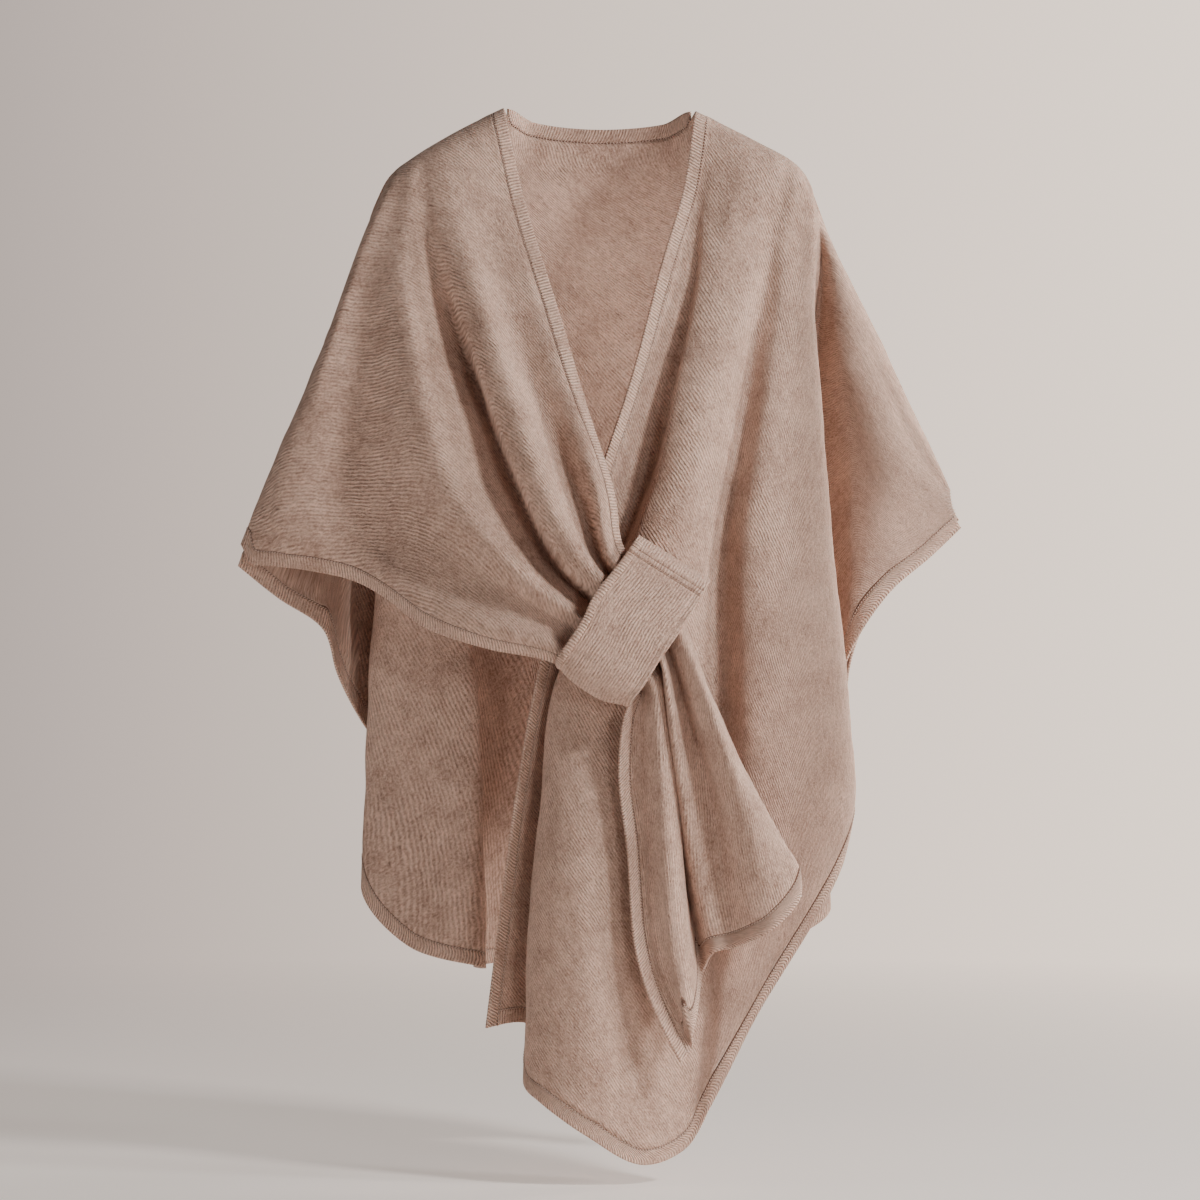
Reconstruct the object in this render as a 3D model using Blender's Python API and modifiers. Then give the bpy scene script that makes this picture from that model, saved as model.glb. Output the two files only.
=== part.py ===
"""Knit wrap cape whose right front is drawn through a loop tab on the left front.

The cape hangs as it is worn, over a hollow body. Its own frame is +Z up, with the origin between
the two neck points, where the shoulders carry it. The viewer stands at -Y, so the garment's right
side is at -X.

Every panel is a sheet of cloth laid through fold lines. A fold line runs down the cloth, and its
stations are given in millimetres: how far ACROSS the picture plane, how far DOWN from the neck
points, and how far OUT from the shoulder plane towards the viewer.
"""
import bpy
import bmesh
import numpy as np

MM = 0.001

# Driving dimensions, in metres
EYE_DISTANCE = 4.5          # the stations are seen from here, in front of the shoulder plane
EYE_DOWN = 0.49             # and at this height below the neck points
WALL = 0.0018               # fine double-faced knit
BAND_WALL = 0.0024          # linked bands and ribbed hems are firmer
TAB_WALL = 0.0032           # the loop tab is doubled knit
SEAM_GAP = 0.0007           # between the pieces on each side of a seam
FOLD_GAP = 0.0014           # the same where a hem crosses folds
TIGHT_FOLD_GAP = 0.0024     # the same where it crosses the tail's narrow folds
LEAST_SLANT = 0.42          # a hem that runs almost along the fold lines is inset this steeply
FRONT_BAND = 0.012          # width of the linked neck-edge bands
NECK_BAND = 0.013           # width of the band on the back neck
HEM_BAND = 0.014            # width of the ribbed hems
ROLL_OUT = 30.0             # mm, how far the cloth rounds forward over the shoulder and arm
ROLL_IN = 14.0              # mm, how far it comes in while it rounds
CELL = 0.025                # target size of a cell across the folds
TAIL_CELL = 0.012           # the tail's folds are smaller
MOST_CELLS = 6              # between two fold lines
ROUNDING = (0.0, 0.006, 0.02, 0.042)   # fractions of a fold line at which it rounds the shoulder

KNIT = (0.44, 0.31, 0.25, 1.0)
RIB = (0.40, 0.28, 0.225, 1.0)

# The shoulder and arm line of each side: (across, down) from the neck point to the wing tip
RIGHT_RIM = ((-96, -1), (-150, 26), (-196, 55), (-209, 66), (-228, 107), (-250, 168), (-279, 244),
             (-308, 308), (-333, 372), (-359, 436))
LEFT_RIM = ((95, 2), (155, 32), (193, 53), (205, 66), (215, 96), (244, 161), (283, 241),
            (314, 305), (346, 372), (359, 408))
# The back neck: (across, down, out), between the neck points
BACK_NECK = ((-96, -1, -1), (-80, 8, -22), (-55, 15, -44), (0, 20, -60), (40, 19, -56), (65, 14, -42),
             (95, 2, -1))

# Each row is one fold line of the right front, from the arm to the loop tab.
# (name, millimetres along the shoulder and arm line, stations of (across, down, out))
RIGHT_FRONT = (
    ("neck edge", 0,
     (-78, 82, 34), (-40, 206, 72), (-13, 298, 98), (14, 384, 122), (25, 441, 134), (54, 468, 138)),
    ("lapel roll", 24,
     (-94, 100, 42), (-59, 208, 76), (-28, 297, 108), (-6, 370, 136), (13, 450, 152), (48, 479, 150)),
    ("lapel valley", 48,
     (-114, 116, 50), (-80, 240, 80), (-50, 318, 100), (-19, 396, 118), (4, 458, 128), (41, 489, 128)),
    ("main ridge", 70,
     (-148, 107, 54), (-115, 209, 92), (-90, 283, 116), (-61, 368, 142), (-20, 446, 155), (33, 499, 154)),
    ("ridge edge", 84,
     (-161, 113, 49), (-132, 215, 80), (-106, 289, 106), (-75, 370, 130), (-32, 450, 149), (26, 506, 146)),
    ("main valley", 94,
     (-171, 124, 40), (-146, 220, 46), (-118, 294, 60), (-87, 376, 80), (-42, 462, 110), (21, 513, 127)),
    ("valley side", 108,
     (-186, 132, 42), (-162, 232, 66), (-136, 304, 86), (-105, 384, 104), (-55, 467, 128), (18, 519, 134)),
    ("shoulder ridge", 126,
     (-204, 112, 33), (-195, 180, 60), (-176, 288, 97), (-141, 386, 120), (-70, 472, 144), (15, 527, 148)),
    ("arm valley", 176,
     (-236, 190, 34), (-229, 258, 42), (-212, 350, 62), (-160, 430, 94), (-80, 486, 126), (8, 538, 134)),
    ("arm", 330,
     (-288, 336, 42), (-258, 388, 42), (-226, 430, 54), (-170, 470, 90), (-92, 502, 126), (2, 547, 140)),
    ("hem roll", 440,
     (-322, 414, 32), (-286, 432, 40), (-250, 446, 46), (-198, 474, 78), (-118, 514, 128), (-46, 534, 146),
     (-5, 555, 146)),
    ("hem", 530,
     (-350, 452, 6), (-324, 456, 14), (-292, 460, 26), (-247, 470, 38), (-212, 489, 60), (-177, 516, 86),
     (-113, 538, 116), (-50, 551, 130), (-12, 569, 130)),
)

# The same front below the tab. Each row runs from under the tab down to the tail's hem, in
# stations of (across, down, out).
TAIL = (
    ("banded edge",
     (-7, 573, 131), (12, 580, 135), (29, 590, 139), (24, 608, 141), (21, 624, 141), (19, 668, 140),
     (27, 737, 140), (36, 843, 138), (49, 888, 136), (80, 952, 134)),
    ("edge hollow",
     (3, 557, 128), (22, 565, 129), (42, 576, 130), (41, 604, 131), (40, 624, 131), (40, 668, 130),
     (46, 737, 130), (55, 843, 131), (70, 888, 129), (92, 937, 125)),
    ("inner roll",
     (10, 547, 148), (30, 555, 150), (52, 574, 151), (57, 604, 152), (60, 637, 152), (63, 683, 152),
     (68, 760, 151), (75, 843, 146), (83, 890, 141), (92, 927, 133)),
    ("inner roll side",
     (17, 536, 136), (37, 545, 138), (61, 564, 140), (69, 604, 140), (75, 637, 139), (78, 683, 139),
     (82, 760, 139), (88, 833, 138), (93, 872, 133), (96, 906, 124)),
    ("inner hollow",
     (23, 525, 129), (42, 534, 128), (60, 552, 127), (65, 596, 125), (68, 637, 122), (74, 683, 118),
     (80, 740, 114), (87, 780, 111), (94, 815, 109), (103, 862, 108)),
    ("middle roll",
     (31, 512, 150), (47, 524, 154), (62, 552, 157), (70, 592, 157), (75, 630, 155), (81, 672, 151),
     (88, 718, 145), (97, 766, 139), (107, 808, 134), (116, 842, 131)),
    ("middle valley",
     (38, 501, 132), (55, 513, 134), (71, 546, 135), (81, 580, 134), (90, 612, 133), (101, 650, 133),
     (112, 700, 133), (120, 744, 133), (127, 792, 132), (133, 838, 132)),
    ("outer roll side",
     (43, 494, 146), (60, 506, 150), (77, 538, 154), (90, 572, 157), (101, 606, 158), (114, 646, 158),
     (129, 700, 156), (139, 744, 154), (147, 788, 151), (152, 831, 148)),
    ("outer roll",
     (50, 484, 152), (66, 499, 156), (83, 531, 160), (98, 566, 165), (111, 600, 168), (126, 642, 168),
     (147, 700, 166), (159, 740, 164), (169, 780, 160), (174, 819, 156)),
    ("outer edge",
     (58, 474, 142), (76, 494, 144), (90, 528, 147), (107, 576, 150), (122, 610, 151), (138, 646, 151),
     (161, 691, 150), (184, 734, 148), (199, 760, 146), (201, 782, 144)),
    ("turned under",
     (54, 479, 128), (72, 500, 130), (86, 534, 130), (102, 584, 129), (114, 616, 128), (128, 648, 127),
     (149, 690, 125), (168, 726, 124), (182, 750, 125), (187, 766, 127)),
)

# Each row is one fold line of the left front, from the shoulder and arm to the hem.
LEFT_FRONT = (
    ("neck edge", 0,
     (84, 76, 30), (62, 153, 53), (30, 273, 82), (5, 348, 94), (-28, 450, 95), (-59, 553, 90),
     (-82, 674, 80), (-101, 815, 72), (-114, 918, 70)),
    ("edge valley", 22,
     (99, 90, 29), (94, 176, 41), (76, 262, 51), (50, 362, 60), (10, 468, 68), (-37, 572, 60),
     (-55, 690, 48), (-65, 815, 44), (-71, 915, 42)),
    ("front fold edge", 42,
     (108, 92, 34), (102, 160, 52), (82, 263, 80), (57, 372, 94), (18, 470, 96), (-42, 567, 86),
     (-60, 690, 82), (-71, 849, 84), (-75, 976, 86)),
    ("front fold roll", 56,
     (120, 96, 38), (114, 166, 58), (94, 268, 88), (71, 372, 102), (34, 470, 104), (-28, 572, 98),
     (-48, 692, 106), (-58, 852, 110), (-60, 992, 110)),
    ("front fold crest", 74,
     (132, 100, 42), (128, 172, 60), (112, 273, 90), (91, 372, 102), (62, 470, 106), (20, 580, 105),
     (-10, 700, 124), (-14, 860, 130), (-14, 1026, 126)),
    ("front fold side", 92,
     (150, 106, 42), (146, 175, 56), (132, 262, 78), (114, 360, 88), (96, 455, 92), (76, 580, 96),
     (58, 700, 104), (46, 860, 108), (44, 1055, 106)),
    ("column valley", 110,
     (176, 120, 36), (166, 180, 42), (152, 250, 54), (142, 330, 62), (125, 430, 67), (122, 540, 69),
     (125, 640, 71), (117, 780, 77), (88, 1036, 84)),
    ("column side", 120,
     (186, 124, 38), (181, 186, 50), (170, 262, 70), (160, 345, 84), (146, 440, 90), (144, 545, 92),
     (148, 645, 92), (138, 780, 90), (110, 998, 86)),
    ("column", 130,
     (200, 128, 34), (197, 200, 52), (193, 290, 72), (192, 380, 84), (190, 480, 92), (194, 580, 94),
     (196, 680, 94), (180, 790, 92), (148, 922, 85)),
    ("ridge", 140,
     (214, 129, 30), (214, 205, 44), (221, 280, 60), (226, 353, 70), (233, 448, 76), (242, 536, 78),
     (250, 613, 78), (254, 680, 76), (247, 722, 74)),
    ("ridge side", 152,
     (216, 150, 24), (208, 220, 22), (206, 290, 24), (208, 350, 26), (211, 410, 26), (214, 460, 26),
     (216, 510, 26), (218, 585, 26), (218, 668, 26)),
    ("ridge pocket", 166,
     (222, 160, 16), (218, 225, 2), (217, 285, -6), (219, 335, -8), (221, 385, -8), (223, 430, -8),
     (225, 475, -8), (227, 540, -8), (228, 616, -8)),
    ("inner wing", 196,
     (236, 190, 32), (240, 240, 30), (246, 290, 26), (250, 335, 24), (253, 380, 24), (254, 420, 26),
     (254, 455, 28), (252, 490, 30), (249, 545, 34)),
    ("wing", 310,
     (280, 268, 30), (283, 295, 38), (285, 322, 42), (287, 348, 43), (289, 372, 42), (290, 396, 40),
     (291, 420, 37), (291, 444, 34), (290, 482, 32)),
    ("outer wing", 410,
     (320, 345, 22), (322, 359, 27), (324, 372, 29), (325, 385, 28), (326, 397, 27), (327, 409, 25),
     (328, 421, 23), (329, 433, 21), (330, 447, 19)),
    ("tip", 474,
     (351, 394, 10), (352, 398, 10), (354, 402, 10), (355, 406, 9), (356, 409, 9), (357, 412, 8),
     (358, 414, 8), (359, 416, 7), (361, 418, 7)),
)

# Each row is one fold line of the back, from the right wing tip round to the left one.
# (name, side whose arm line it starts on or "neck", millimetres along that line, stations)
BACK = (
    ("right tip", "right", 520,
     (-354, 437, -8), (-357, 442, -8), (-359, 448, -8), (-362, 456, -8)),
    ("right outer wing", "right", 440,
     (-322, 394, -22), (-322, 420, -24), (-322, 446, -24), (-322, 488, -22)),
    ("right wing", "right", 330,
     (-282, 320, -40), (-284, 390, -46), (-282, 440, -44), (-276, 520, -34)),
    ("right inner wing", "right", 200,
     (-246, 240, -50), (-253, 350, -60), (-259, 440, -60), (-262, 564, -52)),
    ("right pocket lip", "right", 134,
     (-214, 180, -66), (-234, 320, -84), (-243, 450, -88), (-240, 608, -84)),
    ("right pocket", "right", 122,
     (-204, 172, -70), (-210, 330, -102), (-206, 480, -114), (-200, 668, -114)),
    ("right pocket turn", "right", 113,
     (-196, 168, -66), (-202, 330, -88), (-197, 480, -94), (-191, 706, -92)),
    ("right flute edge", "right", 104,
     (-190, 176, -70), (-212, 340, -74), (-226, 500, -62), (-238, 778, -46)),
    ("right flute", "right", 90,
     (-176, 180, -76), (-188, 340, -70), (-188, 500, -38), (-190, 837, -14)),
    ("right flute side", "right", 74,
     (-158, 184, -80), (-150, 340, -72), (-132, 500, -24), (-118, 857, 2)),
    ("right flute pocket", "right", 56,
     (-140, 190, -84), (-128, 340, -96), (-126, 500, -86), (-124, 856, -76)),
    ("right back", "right", 32,
     (-118, 196, -90), (-104, 340, -110), (-94, 500, -118), (-92, 852, -118)),
    ("right shoulder end", "right", 9,
     (-99, 199, -93), (-80, 340, -116), (-70, 500, -124), (-66, 856, -130)),
    ("back neck right", "neck", 0,
     (-92, 200, -94), (-70, 340, -118), (-58, 500, -126), (-54, 858, -132)),
    ("neck curve right", "neck", 48,
     (-54, 200, -98), (-40, 340, -121), (-34, 500, -130), (-28, 866, -138)),
    ("centre back", "neck", 118,
     (0, 200, -102), (0, 340, -122), (2, 500, -132), (6, 872, -142)),
    ("neck curve left", "neck", 186,
     (56, 200, -98), (42, 340, -121), (38, 500, -130), (42, 870, -140)),
    ("back neck left", "neck", 1000,
     (90, 200, -94), (74, 340, -118), (68, 500, -128), (74, 864, -136)),
    ("left shoulder end", "left", 9,
     (98, 199, -93), (84, 340, -117), (79, 500, -127), (86, 860, -134)),
    ("left back fold", "left", 30,
     (120, 196, -90), (110, 340, -112), (106, 500, -122), (112, 852, -126)),
    ("left back", "left", 54,
     (142, 190, -86), (138, 340, -106), (136, 500, -112), (144, 846, -112)),
    ("left flute side", "left", 78,
     (160, 184, -80), (156, 340, -90), (152, 500, -78), (156, 838, -68)),
    ("left flute", "left", 92,
     (178, 182, -74), (184, 340, -74), (188, 500, -56), (196, 826, -42)),
    ("left flute edge", "left", 106,
     (192, 178, -70), (206, 340, -76), (216, 500, -62), (229, 802, -50)),
    ("left flute turn", "left", 115,
     (200, 176, -68), (203, 330, -88), (200, 480, -92), (198, 740, -92)),
    ("left flute pocket", "left", 124,
     (206, 178, -70), (208, 330, -100), (204, 470, -110), (202, 706, -112)),
    ("left pocket lip", "left", 142,
     (216, 190, -64), (226, 330, -90), (233, 440, -98), (238, 640, -96)),
    ("left inner wing", "left", 200,
     (242, 240, -50), (248, 340, -62), (251, 420, -62), (252, 545, -50)),
    ("left wing", "left", 310,
     (282, 306, -38), (284, 350, -44), (286, 400, -42), (288, 468, -34)),
    ("left outer wing", "left", 410,
     (320, 362, -22), (322, 382, -24), (324, 404, -22), (327, 434, -20)),
    ("left tip", "left", 474,
     (352, 398, -10), (354, 402, -10), (356, 406, -9), (359, 410, -8)),
)

# The loop tab, lengthwise: (across, down, out) at its left and its right edge, from the end that
# is sewn to the left front, over the drawn cloth, round the fold and up behind
TAB = (
    ((38, 426), (106, 469), 109),
    ((34, 433), (102, 476), 116),
    ((27, 446), (97, 486), 148),
    ((12, 463), (82, 514), 160),
    ((-8, 488), (70, 536), 164),
    ((-22, 516), (56, 556), 164),
    ((-36, 538), (40, 582), 162),
    ((-46, 553), (28, 597), 154),
    ((-48, 559), (24, 603), 138),
    ((-45, 554), (27, 598), 121),
    ((-34, 538), (38, 582), 115),
    ((-20, 518), (52, 562), 112),
)


def seen(across, down, out):
    """Return the point in metres that is seen at (across, down) and lies `out` nearer."""
    reach = (EYE_DISTANCE - out * MM) / EYE_DISTANCE
    eye_drop = EYE_DOWN / MM
    return (across * MM * reach, -out * MM, -(eye_drop + (down - eye_drop) * reach) * MM)


def spline(points, knots, where):
    """Cubic curve through points (..., n, 3) at increasing knots (..., n), read at where (...)."""
    step = np.diff(knots, axis=-1)
    slope = np.diff(points, axis=-2) / step[..., None]
    tangent = np.empty_like(points)
    before, after = step[..., :-1, None], step[..., 1:, None]
    tangent[..., 1:-1, :] = (slope[..., :-1, :] * after + slope[..., 1:, :] * before) / (before + after)
    tangent[..., 0, :] = 1.5 * slope[..., 0, :] - 0.5 * tangent[..., 1, :]
    tangent[..., -1, :] = 1.5 * slope[..., -1, :] - 0.5 * tangent[..., -2, :]
    span = np.clip((knots[..., 1:-1] <= where[..., None]).sum(axis=-1), 0, step.shape[-1] - 1)

    def pick(values, index):
        if values.ndim > index.ndim + 1:
            return np.take_along_axis(values, index[..., None, None], axis=-2)[..., 0, :]
        return np.take_along_axis(values, index[..., None], axis=-1)

    width = pick(step, span)
    s = (where[..., None] - pick(knots, span)) / width
    return (pick(points, span) * (2 * s**3 - 3 * s**2 + 1)
            + pick(tangent, span) * width * (s**3 - 2 * s**2 + s)
            + pick(points, span + 1) * (3 * s**2 - 2 * s**3)
            + pick(tangent, span + 1) * width * (s**3 - s**2))


def chords(points):
    """Distance along the points (..., n, 3), softened so that long spans don't swing."""
    gaps = np.linalg.norm(np.diff(points, axis=-2), axis=-1) ** 0.75
    gaps = np.maximum(gaps, 1e-6)
    return np.concatenate([np.zeros_like(gaps[..., :1]), np.cumsum(gaps, axis=-1)], axis=-1)


def along(points, distances):
    """Read a smooth curve through the points at the given distances from its start."""
    points = np.array(points, dtype=float)
    knots = chords(points)
    fine = np.linspace(0.0, knots[-1], 40 * len(points))
    curve = spline(np.broadcast_to(points, (len(fine),) + points.shape),
                   np.broadcast_to(knots, (len(fine), len(knots))), fine)
    run = np.concatenate([[0.0], np.cumsum(np.linalg.norm(np.diff(curve, axis=0), axis=1))])
    distances = np.clip(distances, 0.0, run[-1])
    return np.stack([np.interp(distances, run, curve[:, k]) for k in range(curve.shape[1])], axis=-1)


class Sheet:
    """Cloth laid through fold lines: u counts the lines, and v runs down them from 0 to 1."""

    ROWS = 161

    def __init__(self, lines):
        rows = []
        for line in lines:
            points = np.array([seen(*station) for station in line])
            length = np.linalg.norm(np.diff(points, axis=0), axis=1).sum()
            rows.append(along(points, np.linspace(0.0, 1.1 * length, self.ROWS * 4)))
        self.count = len(rows)
        self.lines = np.stack([self.even(row) for row in rows], axis=1)

    def even(self, row):
        run = np.concatenate([[0.0], np.cumsum(np.linalg.norm(np.diff(row, axis=0), axis=1))])
        wanted = np.linspace(0.0, run[-1], self.ROWS)
        return np.stack([np.interp(wanted, run, row[:, k]) for k in range(3)], axis=-1)

    def at(self, u, v):
        """Return the points at line numbers u and fractions v, both arrays of one shape."""
        u, v = np.broadcast_arrays(np.asarray(u, float), np.asarray(v, float))
        shape = u.shape
        u, v = u.ravel(), np.clip(v.ravel(), 0.0, 1.0)
        row = v * (self.ROWS - 1)
        low = np.minimum(row.astype(int), self.ROWS - 2)
        part = (row - low)[:, None, None]
        points = self.lines[low] * (1 - part) + self.lines[low + 1] * part
        knots = chords(points)
        line = np.clip(u.astype(int), 0, self.count - 2)
        start = np.take_along_axis(knots, line[:, None], axis=1)[:, 0]
        end = np.take_along_axis(knots, line[:, None] + 1, axis=1)[:, 0]
        where = start + (end - start) * (u - line)
        return spline(points, knots, where).reshape(shape + (3,))

    def slant(self, u, v, along_v):
        """Sine of the angle between the fold line and the edge that crosses it at (u, v)."""
        across = self.at(np.minimum(u + 0.05, self.count - 1), v) - self.at(np.maximum(u - 0.05, 0), v)
        down = self.at(u, np.minimum(v + 0.02, 1)) - self.at(u, np.maximum(v - 0.02, 0))
        if not along_v:
            across, down = down, across
        size = np.linalg.norm(across, axis=-1) * np.linalg.norm(down, axis=-1)
        return np.maximum(np.linalg.norm(np.cross(across, down), axis=-1) / size, LEAST_SLANT)

    def inset_u(self, v, distance, last=False, gap=0.0):
        """Return the u that lies `distance` square in from the first or last line, and a gap more."""
        v = np.asarray(v, float)
        steps = np.linspace(0.0, 0.92, 47)
        u = (self.count - 1 - steps) if last else steps
        slant = self.slant(np.full_like(v, u[0]), v, False)
        return self.reach(self.at(u[None, :], v[:, None]), u, distance / slant + gap / slant**2)

    def inset_v(self, u, distance, top=False, gap=0.0):
        """Return the v that lies `distance` square in from the bottom or top, and a gap more."""
        u = np.asarray(u, float)
        steps = np.linspace(0.0, 0.75, 151)
        v = steps if top else 1.0 - steps
        slant = self.slant(u, np.full_like(u, v[0]), True)
        return self.reach(self.at(u[:, None], v[None, :]), v, distance / slant + gap / slant**2)

    @staticmethod
    def reach(points, values, distance):
        run = np.cumsum(np.linalg.norm(np.diff(points, axis=1), axis=2), axis=1)
        run = np.concatenate([np.zeros((len(run), 1)), run], axis=1)
        return np.array([np.interp(d, r, values) for d, r in zip(distance, run)])


def rolled(rim, distance, stations, side=1):
    """Start a fold line on the arm line, rounding forward (side 1) or back (side -1)."""
    flat = [(a, d, 0.0) for a, d in rim]
    start = along(flat, np.array([distance], float))[0]
    first = np.array(stations[0], float)
    inward = first[:2] - start[:2]
    inward /= np.linalg.norm(inward)
    depth = min(ROLL_OUT, 0.7 * abs(first[2])) * side
    gap = 0.6 * SEAM_GAP / MM * side
    line = [(start[0], start[1], gap)]
    for turn in (14.0, 38.0, 68.0):
        angle = np.radians(turn)
        come_in = ROLL_IN * (1.0 - np.cos(angle)) * abs(depth) / ROLL_OUT
        line.append((start[0] + inward[0] * come_in, start[1] + inward[1] * come_in,
                     gap + depth * np.sin(angle)))
    return line + list(stations)


def right_front_sheet():
    return Sheet([rolled(RIGHT_RIM, distance, stations) for _, distance, *stations in RIGHT_FRONT])


def left_front_sheet():
    return Sheet([rolled(LEFT_RIM, distance, stations) for _, distance, *stations in LEFT_FRONT])


def back_sheet():
    lines = []
    for _, side, distance, *stations in BACK:
        if side == "neck":
            start = tuple(along(BACK_NECK, np.array([distance], float))[0])
            lines.append([start] + list(stations))
        else:
            rim = RIGHT_RIM if side == "right" else LEFT_RIM
            lines.append(rolled(rim, distance, stations, side=-1))
    return Sheet(lines)


def tail_sheet():
    return Sheet([stations for _, *stations in TAIL])


def tab_sheet():
    lines = []
    for part in (0.0, 0.5, 1.0):
        lines.append([(left[0] + (right[0] - left[0]) * part, left[1] + (right[1] - left[1]) * part, out)
                      for left, right, out in TAB])
    return Sheet(lines)


def knit_material(name, colour):
    material = bpy.data.materials.new(name)
    material.use_nodes = True
    shader = material.node_tree.nodes["Principled BSDF"]
    shader.inputs["Base Color"].default_value = colour
    shader.inputs["Roughness"].default_value = 0.9
    shader.inputs["Metallic"].default_value = 0.0
    return material


def columns(sheet, first, last, cell=CELL, extra=()):
    """Line numbers for the grid's columns, with every fold line among them."""
    stops = []
    for line in range(first, last):
        middle = sheet.at(np.array([line, line + 1.0]), np.array([0.6, 0.6]))
        wide = sheet.at(np.array([line, line + 1.0]), np.array([0.95, 0.95]))
        width = max(np.linalg.norm(middle[1] - middle[0]), np.linalg.norm(wide[1] - wide[0]))
        cells = int(np.clip(round(width / cell), 1, MOST_CELLS))
        stops.extend(line + k / cells for k in range(cells))
    return np.array(sorted(set(stops + [float(last)]) | set(extra)))


def row_stops(rows, rim=False):
    """Fractions down the sheet for the grid's rows, closer together where it rounds the shoulder."""
    if rim:
        return np.concatenate([ROUNDING, np.linspace(ROUNDING[-1], 1.0, rows + 1)[1:]])
    return np.linspace(0.0, 1.0, rows + 1)


def lay(name, sheet, us, vs, wall, material, collection, u_ends=None, v_ends=None):
    """Make one piece of cloth: a grid laid on the sheet, given its wall.

    u_ends and v_ends are functions that return where the piece starts and stops: the first and
    last u for a row's v, and the first and last v for a column's u.
    """
    us = np.asarray(us, float)
    rows = len(vs) - 1
    u, v = np.meshgrid(us, vs)
    if v_ends:
        top, bottom = v_ends(us)
        v = top[None, :] + (bottom - top)[None, :] * v
    if u_ends:
        left, right = u_ends(vs)
        lean_left = np.clip(1.0 - (us - us[0]), 0.0, 1.0)
        lean_right = np.clip(1.0 - (us[-1] - us), 0.0, 1.0)
        if us[-1] - us[0] <= 1.0:
            share = (us - us[0]) / (us[-1] - us[0])
            u = left[:, None] * (1 - share) + right[:, None] * share
        else:
            u = u + (left - us[0])[:, None] * lean_left + (right - us[-1])[:, None] * lean_right
    points = sheet.at(u, v)

    mesh = bpy.data.meshes.new(name)
    bm = bmesh.new()
    bmesh.ops.create_grid(bm, x_segments=len(us) - 1, y_segments=rows, size=0.5)
    for vert in bm.verts:
        column = round((vert.co.x + 0.5) * (len(us) - 1))
        row = round((0.5 - vert.co.y) * rows)
        vert.co = points[row, column]
    bm.to_mesh(mesh)
    bm.free()
    mesh.shade_smooth()
    piece = bpy.data.objects.new(name, mesh)
    collection.objects.link(piece)
    mesh.materials.append(material)
    shell = piece.modifiers.new("wall", "SOLIDIFY")
    shell.thickness = wall
    shell.offset = 0.0
    return piece


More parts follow.
